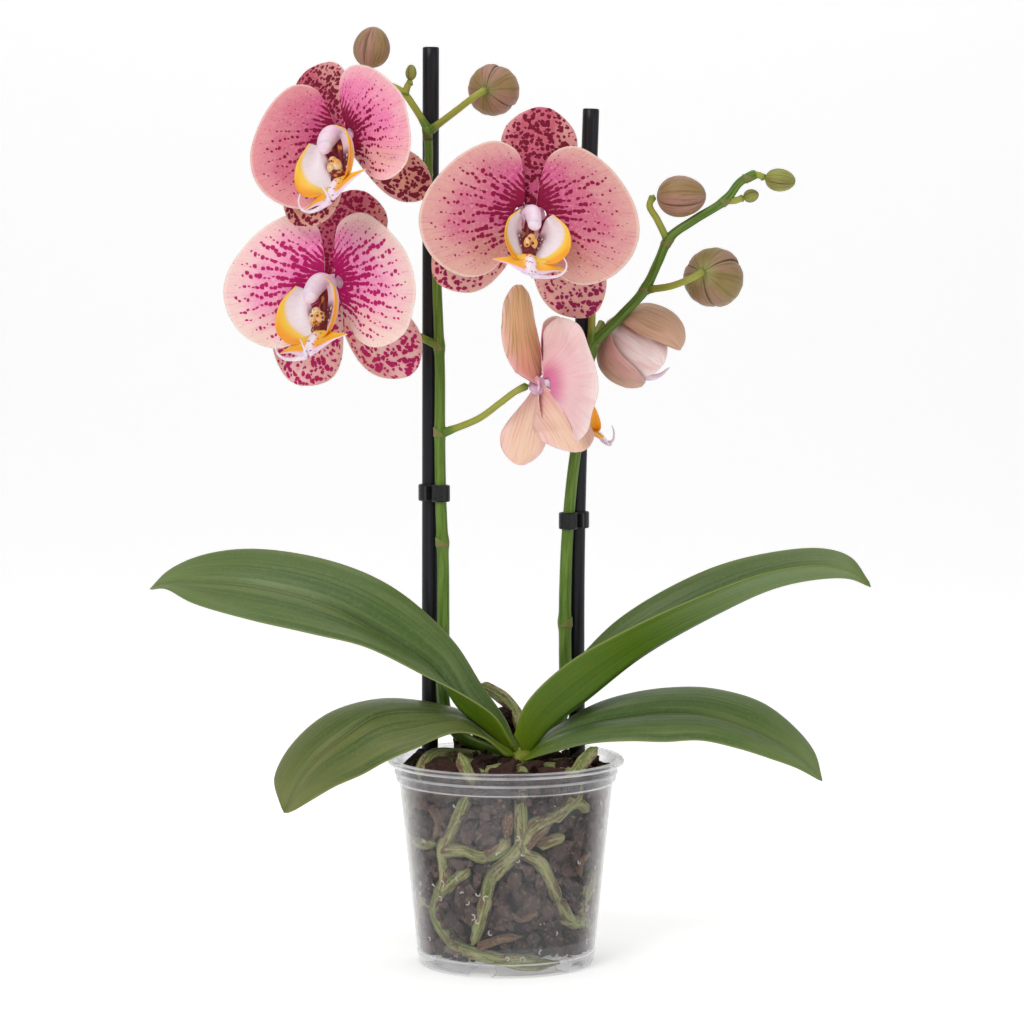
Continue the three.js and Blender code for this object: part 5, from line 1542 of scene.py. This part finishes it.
BARK_INSET = 12.5
WALL_SPACE, FLOOR_SPACE = 0.35, 7.4
# Sizes of the chips against the wall and on top, each with how often a place is tried.
WALL_CHIPS = [(11.5, 350), (9.2, 900), (7.2, 2000), (5.4, 3600), (4.0, 5000), (2.8, 6000)]
TOP_CHIPS = [(12.5, 500), (9.5, 900), (7.0, 1200), (5.0, 1500), (3.4, 1200)]
# The bark is heaped behind the stem: the heap's place, height and half width.
HEAP = (-7, 23, 23, 13)


def bark_top(x, y):
    """How high the bark lies at a place inside the pot."""
    crown = 8.0 * (1 - smooth(6, 48, hypot(x, y)))
    heap = HEAP[2] * exp(-((x - HEAP[0]) ** 2 + (y - HEAP[1]) ** 2) / HEAP[3] ** 2)
    return 98 + crown + heap


def rod_points():
    """Where stakes, spikes and the stem stand above the bark, with their radii."""
    found = []
    for _, path in STAKES:
        found += [(p, 4.6) for p in spaced_points(path, 3) if p.z < 125]
    for spike in SPIKES:
        found += [(p, 4.2) for p in spaced_points(spike["path"], 3) if p.z < 135]
    found += [(Vector((CROWN[0], CROWN[1], z)), 8.0) for z in range(100, 114, 3)]
    for leaf in LEAVES:
        for rail in leaf[2:]:
            found += [(p, 2.4) for p in spaced_points(rail, 3) if p.z < 128 and p.xy.length < 55]
    return found


class Nearby:
    """Finds how far a place is from the nearest of many round things."""

    def __init__(self, balls):
        self.radii = [radius for _, radius in balls]
        self.tree = KDTree(len(balls))
        for index, (place, _) in enumerate(balls):
            self.tree.insert(place, index)
        self.tree.balance()

    def clearance(self, place):
        return min(distance - self.radii[index] for _, index, distance in self.tree.find_n(place, 6))


def chip_sites(rng):
    """Each chip's place, size and outward direction: larger ones first, clear of the roots."""
    roots = [(p, ROOT_RADIUS) for path in root_paths() for p in spaced_points(path, 3)]
    for thickness, stops in ROOT_PIECES + DRY_PIECES:
        path = [wall_stop(stop, thickness) for stop in stops]
        roots += [(p, thickness) for p in spaced_points(path, 3)]
    rods, blocked, sites = Nearby(rod_points()), Nearby(roots + rod_points()), []

    def free(place, size, spread):
        return all((place - other).length > (size + far) * spread for other, far, _ in sites)

    for size, tries in WALL_CHIPS:
        for _ in range(tries):
            turn, z = rng.uniform(0, 2 * pi), rng.uniform(4 + size * 0.5, 95)
            out = Vector((cos(turn), sin(turn), 0))
            place = out * (inner_radius(z) - size * 0.3 - rng.uniform(0.3, 3.4)) + Vector((0, 0, z))
            if blocked.clearance(place) > size * 0.52 and free(place, size, 0.6):
                sites.append((place, size, out))
    for size, tries in TOP_CHIPS:
        for _ in range(tries):
            turn, reach = rng.uniform(0, 2 * pi), 51 * sqrt(rng.random())
            x, y = reach * cos(turn), reach * sin(turn)
            place = Vector((x, y, bark_top(x, y) + rng.uniform(-4, 2.5)))
            if reach < 54 - size * 0.55 and rods.clearance(place) > size * 0.45 and free(place, size, 0.56):
                tilt = Vector((rng.uniform(-1, 1), rng.uniform(-1, 1), 0.8))
                sites.append((place, size, tilt.normalized()))
    return sites


def shake(rng, reach):
    """A random step, of up to the given reach along each axis."""
    return Vector([rng.uniform(-reach, reach) for _ in range(3)])


def chip_turn(out, rng):
    """A turn that lays a chip's thin side along the given direction, give or take a lean."""
    lean = (out + shake(rng, 0.45)).normalized()
    spin = Matrix.Rotation(rng.uniform(0, 2 * pi), 3, "Z")
    return (lean.to_track_quat("Z", "Y").to_matrix() @ spin).to_euler()


def chip_mesh(name, seed):
    """One rough chip of bark: a broken block with torn, uneven faces, about 1.5 across."""
    rng = random.Random(seed)
    body = bmesh.new()
    bmesh.ops.create_cube(body, size=1.5)
    shape = (1.0, rng.uniform(0.6, 0.86), rng.uniform(0.42, 0.6))
    for vert in body.verts:
        vert.co = Vector((vert.co.x * shape[0], vert.co.y * shape[1], vert.co.z * shape[2]))
        vert.co += shake(rng, 0.2)
    bmesh.ops.subdivide_edges(body, edges=body.edges, cuts=3, use_grid_fill=True)
    drift = Vector((seed * 3.1, -seed * 1.7, seed))
    for _ in range(6):
        cut = shake(rng, 1).normalized()
        limit = rng.uniform(0.42, 0.62)
        for vert in body.verts:
            over = vert.co.dot(cut) - limit
            if over > 0:
                vert.co -= cut * over * 0.92
    for vert in body.verts:
        torn = 0.035 * sin(vert.co.z * 22 + noise.noise(vert.co * 2.5 + drift) * 4)
        lump = 0.18 * noise.fractal(vert.co * 2.4 + drift, 0.8, 2.1, 4)
        out = vert.co.normalized()
        vert.co += out * lump + Vector((out.x, out.y, 0)) * torn
    return solid_piece(body, name)


def named_value(tree, title, kind):
    """A node that reads a value noted on the points."""
    node = tree.nodes.new("GeometryNodeInputNamedAttribute")
    node.data_type = kind
    node.inputs["Name"].default_value = title
    return node.outputs[0]


def scatter_tree():
    """A node tree that sets a copy of one chip on each point, turned and sized as noted there."""
    tree, inputs = open_tree("bark_scatter", Chip="Object", Skin="Material")
    nodes, links = tree.nodes, tree.links
    start = nodes.new("NodeGroupInput")
    source = nodes.new("GeometryNodeObjectInfo")
    scatter = nodes.new("GeometryNodeInstanceOnPoints")
    links.new(start.outputs["Chip"], source.inputs["Object"])
    links.new(start.outputs["Geometry"], scatter.inputs["Points"])
    links.new(source.outputs["Geometry"], scatter.inputs["Instance"])
    links.new(named_value(tree, "turn", "FLOAT_VECTOR"), scatter.inputs["Rotation"])
    links.new(named_value(tree, "size", "FLOAT"), scatter.inputs["Scale"])
    end_tree(tree, scatter.outputs[0], start)
    return tree, *inputs


def scattered(name, sites, chip, rng, skin, setup):
    tree, chip_input, skin_input = setup
    mesh = bpy.data.meshes.new(name + "_sites")
    mesh.from_pydata([place * MM for place, _, _ in sites], [], [])
    sizes = mesh.attributes.new("size", "FLOAT", "POINT")
    sizes.data.foreach_set("value", [size * MM for _, size, _ in sites])
    turns = mesh.attributes.new("turn", "FLOAT_VECTOR", "POINT")
    turns.data.foreach_set("vector", [part for _, _, out in sites for part in chip_turn(out, rng)])
    return grown(name, mesh, tree, {chip_input: chip, skin_input: skin})


def bark_core(skin):
    """The rough mass of bark behind the chips, made dark as painted shade."""
    form = Form()
    profile = [(0.01, 7.6), (33, 7.6), (inner_radius(12) - BARK_INSET, 12)]
    profile += [(inner_radius(z) - BARK_INSET, z) for z in range(18, 84, 6)]
    profile += [(inner_radius(85) - BARK_INSET, 85), (36, 91), (30, 93.5), (20, 95), (10, 96), (0.01, 96.5)]
    profile += [(0.01, 50)]

    def wobble(turn, radius, z):
        if radius < 5:
            return 0.0
        return 2.2 * noise.noise(Vector((cos(turn) * 3, sin(turn) * 3, z * 0.09))) - 0.6
    form.lathe(profile, 96, [0] * len(profile), wobble)
    form.ball((HEAP[0], HEAP[1], 92), (HEAP[3], HEAP[3] * 0.8, HEAP[2]), 0)
    return close_up(form.make("bark_core", [skin]))


def joined(name, pieces, shades):
    """One mesh object made of several, with a shade noted on each point."""
    body = bmesh.new()
    for piece in pieces:
        body.from_mesh(piece.data)
    mesh = bpy.data.meshes.new(name)
    body.to_mesh(mesh)
    body.free()
    mesh.attributes.new("shade", "FLOAT", "POINT").data.foreach_set("value", shades)
    mesh.polygons.foreach_set("use_smooth", [False] * len(mesh.polygons))
    for material in pieces[0].data.materials:
        mesh.materials.append(material)
    for piece in pieces:
        bpy.data.objects.remove(piece)
    return placed(name, mesh)


def press_inside(mesh):
    """Moves points that reach through the pot's wall back to just inside it."""
    for vert in mesh.vertices:
        z = vert.co.z / MM
        limit = (inner_radius(min(z, 93)) - WALL_SPACE) * MM
        reach = vert.co.xy.length
        if reach > limit:
            vert.co.xy *= limit / reach
        vert.co.z = max(vert.co.z, FLOOR_SPACE * MM)


def make_bark(skin):
    rng = random.Random(5)
    sites = chip_sites(rng)
    setup = scatter_tree()
    pieces = [bark_core(skin)]
    # Painted shade: the core takes shade 0, the darkest bark tone, for the bark deep behind the chips.
    shades = [0.0] * len(pieces[0].data.vertices)
    variants = 9
    for index in range(variants):
        chip, part = chip_mesh(f"chip_{index}", index + 3), sites[index::variants]
        pieces.append(scattered(f"chips_{index}", part, chip, rng, skin, setup))
        for _ in part:
            shades += [rng.random()] * len(chip.data.vertices)
        bpy.data.objects.remove(chip)
    bark = joined("bark_chips", pieces, shades)
    press_inside(bark.data)
    return bark


# ---- Spikes, stakes, clips and stem base ----

STAKE_RADIUS = 4.2
STAKES = [
    ("stake_left", [(-39.4, 17, 58), (-38.1, 17, 465)]),
    ("stake_right", [(36.8, 17.4, 58), (36.3, 17.4, 216), (43.1, 17.4, 434)]),
]
SPIKE_LOW, SPIKE_HIGH, STALK_RADIUS = 3.6, 2.1, 1.8
SPIKES = [
    {"name": "spike_left",
     "path": [(4, -2.4, 105.5), (-8, 6, 107.5), (-22, 13, 113), (-30, 13, 123), (-32.4, 11, 135),
              (-32.1, 9.5, 170), (-32.2, 9.5, 205), (-33.3, 9.5, 237), (-33.7, 9.5, 270),
              (-33.6, 9.5, 301), (-34.8, 9.5, 338), (-36, 9.5, 368), (-39.6, 10, 396), (-39, 10, 412),
              (-39.8, 10, 424)],
     "stalks": [
         [(-39.8, 10, 424), (-46, 10, 434), (-52, 9, 442), (-60, 8, 446), (-67, 6, 449.5),
          (-69.7, 5, 452.8)],
         [(-51, 9, 441), (-49.4, 8.5, 445.6), (-48.3, 8, 446.8)],
         [(-38, 10, 423), (-24, -1, 433), (-15, -6.5, 439.6), (-10.7, -1.5, 442.3)],
         [(-31.5, 9, 270), (-14, -2, 277.6), (-3, -13, 286), (4.5, -17, 291.8), (10, -16.4, 294.6)],
         [(-34, 9.5, 314), (-48, 12, 321), (-66, 15, 333), (-81, 12.5, 342.6), (-84.9, 5, 345.2)],
         [(-38.5, 10, 401), (-52, 9, 407), (-69, 3, 415), (-77.3, -11.8, 418.2)],
     ],
     "bracts": [(-33, 9.5, 214)]},
    {"name": "spike_right",
     "path": [(12.2, -2.4, 105.5), (19.5, 7, 109), (26, 13, 118), (30.2, 12, 135), (30.2, 11, 155),
              (30.1, 10, 184), (31.1, 10, 215), (33.6, 10, 246), (37.6, 10, 276), (41.1, 10, 302),
              (44, 10.5, 314), (57.9, 11, 328.6), (70, 11, 342), (77.1, 11, 356.5), (83.1, 11, 369),
              (94.7, 10, 377.4), (111.3, 9, 388), (118.5, 9, 397), (126, 8, 400.8)],
     "stalks": [
         [(42.7, 10, 310), (43.6, 9, 330), (43, 7, 346), (31, -3, 368), (16, -18, 378.4),
          (12.4, -27.8, 379.7)],
         [(71.5, 11, 342.5), (84, 2, 344.6), (95.5, -1.5, 349.4), (99.1, 4.6, 351.4)],
         [(82, 11, 367), (76.5, 10.5, 378), (72.6, 10, 385), (74.2, 10, 389.2)],
         [(111, 9, 387.6), (115.4, 9, 387.4), (119.5, 9, 388.7)],
         [(124, 8.4, 400.4), (128, 8, 400.2), (130.2, 8, 399)],
         [(44, 10.5, 314), (46, 17, 320.6), (48.7, 22.4, 325.3)],
     ],
     "bracts": [(30.6, 10, 173), (44.5, 10.5, 308)]},
]
# Each clip, with the number of its stake and of its spike, and its height.
CLIPS = [("clip_left", 0, 0, 239), ("clip_right", 1, 1, 225)]
CLIP_HEIGHT, CLIP_WALL, CLIP_PLAY = 8.5, 1.3, 0.6
TAB_START, TAB_LENGTH, TAB_THICK = 0.5, 5.8, 1.7


def knuckle(point, places, height, gain):
    """How much a spike thickens at its joints, where its bracts and stalks start."""
    return 1 + sum(gain * exp(-((point - Vector(place)).length / height) ** 2) for place in places)


def make_spike(spike, skin, sheath):
    stems = []
    joints = [stalk[0] for stalk in spike["stalks"]] + spike["bracts"]
    points = spaced_points(spike["path"], 2.0)
    count = len(points) - 1
    radii = [lerp(SPIKE_LOW, SPIKE_HIGH, k / count) * knuckle(p, joints, 3.2, 0.22)
             for k, p in enumerate(points)]
    stems.append(blunt(points, radii))
    for path in spike["stalks"]:
        points = spaced_points(path, 1.2)
        count = len(points) - 1
        radii = []
        for k in range(count + 1):
            flare = 0.5 * (1 - smooth(0, 0.16, k / count)) + 0.35 * smooth(0.88, 1, k / count)
            radii.append(lerp(STALK_RADIUS + 0.1, STALK_RADIUS - 0.15, k / count) + flare)
        stems.append(blunt(points, radii))
    green = swept(spike["name"] + "_green", stems, skin, 18)
    seat(green, "spike", spike["name"])
    form = Form()
    for place in spike["bracts"] + [stalk[0] for stalk in spike["stalks"] if stalk[0][2] > 250]:
        add_bract(form, spike, Vector(place))
    seat(form.make(spike["name"] + "_bracts", [sheath]), "spike")


def add_bract(form, spike, place):
    """A small papery sheath that clasps the spike under a joint."""
    points = spaced_points(spike["path"], 1.0)
    near = min(range(len(points)), key=lambda k: (points[k] - place).length)
    near = min(max(near, 4), len(points) - 5)
    up = (points[near + 3] - points[near - 3]).normalized()
    base = points[near] - up * 2.2
    stem = lerp(SPIKE_LOW, SPIKE_HIGH, near / len(points)) * 1.08
    side = Vector((-1, -0.6, 0)) if spike["name"] == "spike_left" else Vector((1, -0.6, 0))
    side = (side - up * side.dot(up)).normalized()
    other = up.cross(side)

    def surface(u, v):
        turn = (v - 0.5) * lerp(5.6, 0.5, u ** 0.6)
        reach = stem * (1.06 - 0.1 * u) + 0.1 + 0.4 * u ** 2
        return base + up * (4.8 * u) + (side * cos(turn) + other * sin(turn)) * reach
    form.blade(surface, 8, 16, lambda u, v: 0.3, (0, 0))


def make_stakes(skin):
    for name, path in STAKES:
        points = spaced_points(path, 6)
        top = points[-1]
        up = (points[-1] - points[-2]).normalized()
        points = points[:-1] + [top - up * 0.5, top]
        radii = [STAKE_RADIUS] * (len(points) - 1) + [STAKE_RADIUS - 0.45]
        seat(swept(name + "_rod", [(points, radii)], skin, 40), "stake", name)


def passing(path, z):
    points = spaced_points(path, 1.0)
    near = min(range(len(points)), key=lambda k: abs(points[k].z - z))
    return points[near], near / (len(points) - 1)


def ring_wall(body, centre, bore, z):
    """A round band with softened edges, about one rod."""
    low, high, outer = z - CLIP_HEIGHT / 2, z + CLIP_HEIGHT / 2, bore + CLIP_WALL
    section = [(bore, low + 0.25), (bore + 0.3, low), (outer - 0.4, low), (outer, low + 0.5),
               (outer, high - 0.5), (outer - 0.4, high), (bore + 0.3, high), (bore, high - 0.25)]
    count = len(section)
    rings = []
    for j in range(48):
        turn = 2 * pi * j / 48
        rings.append([body.verts.new(Vector((centre.x + r * cos(turn), centre.y + r * sin(turn), h)) * MM)
                      for r, h in section])
    for j in range(48):
        k = (j + 1) % 48
        for i in range(count):
            n = (i + 1) % count
            body.faces.new((rings[j][i], rings[k][i], rings[k][n], rings[j][n]))


def add_bridge(body, left, right, z):
    """The web between the two bands, with a short grip tab in front."""
    middle = (left + right) / 2
    along = (right - left).normalized()
    front = Vector((along.y, -along.x, 0))
    if front.y > 0:
        front.negate()
    half = CLIP_HEIGHT / 2 - 0.8
    corners = []
    for a in (-TAB_THICK / 2, TAB_THICK / 2):
        for b in (TAB_START, TAB_START + TAB_LENGTH):
            for c in (-half, half):
                corner = middle + along * a + front * b + Vector((0, 0, z + c - middle.z))
                corners.append(body.verts.new(corner * MM))
    for quad in ((0, 1, 3, 2), (4, 6, 7, 5), (0, 4, 5, 1), (2, 3, 7, 6), (0, 2, 6, 4), (1, 5, 7, 3)):
        body.faces.new([corners[k] for k in quad])


def make_clips(skin):
    for name, stake, spike, z in CLIPS:
        rod, _ = passing(STAKES[stake][1], z)
        stem, share = passing(SPIKES[spike]["path"], z)
        body = bmesh.new()
        ring_wall(body, rod, STAKE_RADIUS + CLIP_PLAY, z)
        ring_wall(body, stem, lerp(SPIKE_LOW, SPIKE_HIGH, share) + CLIP_PLAY, z)
        add_bridge(body, rod.copy(), stem.copy(), z)
        clip = solid_piece(body, name + "_band")
        clip.data.materials.append(skin)
        seat(clip, "clip", name)


def make_stem_base(skin):
    form = Form()

    def shape(p):
        lump = 1 + 0.1 * noise.noise(p * 2.0)
        return Vector((p.x * lump, p.y * lump, p.z))
    form.ball((CROWN[0], CROWN[1], 105.5), (7.2, 6.8, 5.6), 0, 40, 24, shape)
    seat(form.make("stem_base_heart", [skin]), "stem", "stem_base")


# ---- The whole plant ----

def make_blooms():
    petal_back = backed_finish("petal_back", (0.88, 0.56, 0.58), (0.92, 0.70, 0.68),
                               (0.86, 0.46, 0.50), 0.35, 0.9)
    dorsal_back = backed_finish("dorsal_back", (0.76, 0.46, 0.25), (0.86, 0.56, 0.46),
                                (0.42, 0.30, 0.09), 0.75, 0.3)
    sepal_back = backed_finish("sepal_back", (0.86, 0.60, 0.44), (0.88, 0.58, 0.52),
                               (0.74, 0.38, 0.34), 0.75, 0.3)
    hub = plain_skin("bloom_hub", (0.76, 0.50, 0.62), (0.62, 0.30, 0.46))
    column = plain_skin("lip_column", (0.84, 0.70, 0.78), (0.82, 0.60, 0.76))
    lips = [lip_ear_finish(), lip_tongue_finish(), column, throat_finish(), callus_finish(),
            plain_skin("lip_tendril", (0.78, 0.58, 0.74), (0.84, 0.76, 0.80))]
    for bloom in BLOOMS:
        names = ("left_petal", "right_petal", "dorsal_sepal", "side_sepals")
        fronts = [spotted_finish(bloom["name"] + "_" + part, look)
                  for part, look in zip(names, BLOOM_LOOKS[bloom["name"]])]
        flower = make_bloom(bloom, fronts + [petal_back, dorsal_back, hub, sepal_back])
        seat(flower, "petals", bloom["name"] + "_petals")
        seat(make_lip(bloom, lips), "lip", bloom["name"] + "_lip")
    heart = heart_finish()
    shell = backed_finish("opening_shell", (0.70, 0.42, 0.29), (0.76, 0.42, 0.40),
                          (0.38, 0.25, 0.11), 0.55, 0.2)
    seat(make_opening([heart, shell, shell, lips[5]]), "petals", "bloom_opening")


def make_buds():
    finishes = {
        "brown": bud_finish("bud_brown", (0.28, 0.24, 0.09), (0.38, 0.20, 0.14), (0.32, 0.20, 0.085),
                            (0.17, 0.10, 0.04)),
        "olive": bud_finish("bud_olive", (0.34, 0.34, 0.12), (0.33, 0.20, 0.12), (0.27, 0.19, 0.065),
                            (0.15, 0.11, 0.03)),
        "green": bud_finish("bud_green", (0.30, 0.34, 0.08), (0.26, 0.24, 0.06), (0.30, 0.32, 0.07),
                            (0.16, 0.12, 0.035)),
    }
    for bud in BUDS:
        tone = "olive" if bud[0] == "bud_right_low" else "green" if bud[4] < 8 else "brown"
        seat(make_bud(bud, finishes[tone]), "bud", bud[0])


def make_leaves():
    young = leaf_finish("leaf_top_young", (0.054, 0.102, 0.020), (0.106, 0.174, 0.046), (0.19, 0.25, 0.085),
                        (0.22, 0.26, 0.08), 0.34)
    old = leaf_finish("leaf_top_old", (0.072, 0.115, 0.026), (0.132, 0.175, 0.046), (0.22, 0.23, 0.070),
                      (0.24, 0.26, 0.08), 0.34)
    under = leaf_finish("leaf_under", (0.058, 0.120, 0.003), (0.088, 0.165, 0.006), (0.11, 0.175, 0.012),
                        (0.22, 0.26, 0.06), 0.38)
    for leaf in LEAVES:
        top = old if leaf[0] == "leaf_lower_left" else young
        seat(make_leaf(leaf, [top, under]), "leaf", leaf[0])


def make_plant():
    wall = clear_finish("pot_wall", (0.62, 0.61, 0.62), (0.74, 0.72, 0.71), 0.045, 0.5)
    rim = clear_finish("pot_rim", (0.66, 0.66, 0.68), (0.84, 0.84, 0.86), 0.10, 0.45)
    # Painted highlight: the ridge finish is a pale, less clear plastic that draws bright lines on the pot's
    # rings, corners and notch edges.
    ridge = clear_finish("pot_ridge", (0.88, 0.88, 0.90), (0.92, 0.92, 0.93), 0.4, 0.4)
    seat(make_pot([wall, rim, ridge]), "pot", "pot")
    seat(make_bark(bark_finish()), "bark", "bark")
    make_roots(root_finish("root_skin", (0.13, 0.17, 0.03), (0.38, 0.40, 0.16), 0.52),
               root_finish("root_dry", (0.10, 0.055, 0.03), (0.30, 0.19, 0.10), 0.44),
               plain_skin("root_hair", (0.62, 0.55, 0.46), (0.75, 0.72, 0.66)))
    green = stem_finish("spike_skin", (0.060, 0.130, 0.006), (0.135, 0.225, 0.025), (0.32, 0.33, 0.05))
    sheath = plain_skin("bract_skin", (0.15, 0.20, 0.03), (0.20, 0.15, 0.05))
    for spike in SPIKES:
        make_spike(spike, green, sheath)
    make_stakes(black_finish("stake_skin", (0.005, 0.005, 0.008), 0.4, True))
    make_clips(black_finish("clip_skin", (0.008, 0.008, 0.009), 0.3, False))
    make_stem_base(plain_skin("stem_skin", (0.21, 0.26, 0.015), (0.28, 0.31, 0.04)))
    make_leaves()
    make_buds()
    make_blooms()


add_camera()
add_studio()
add_floor()
make_plant()
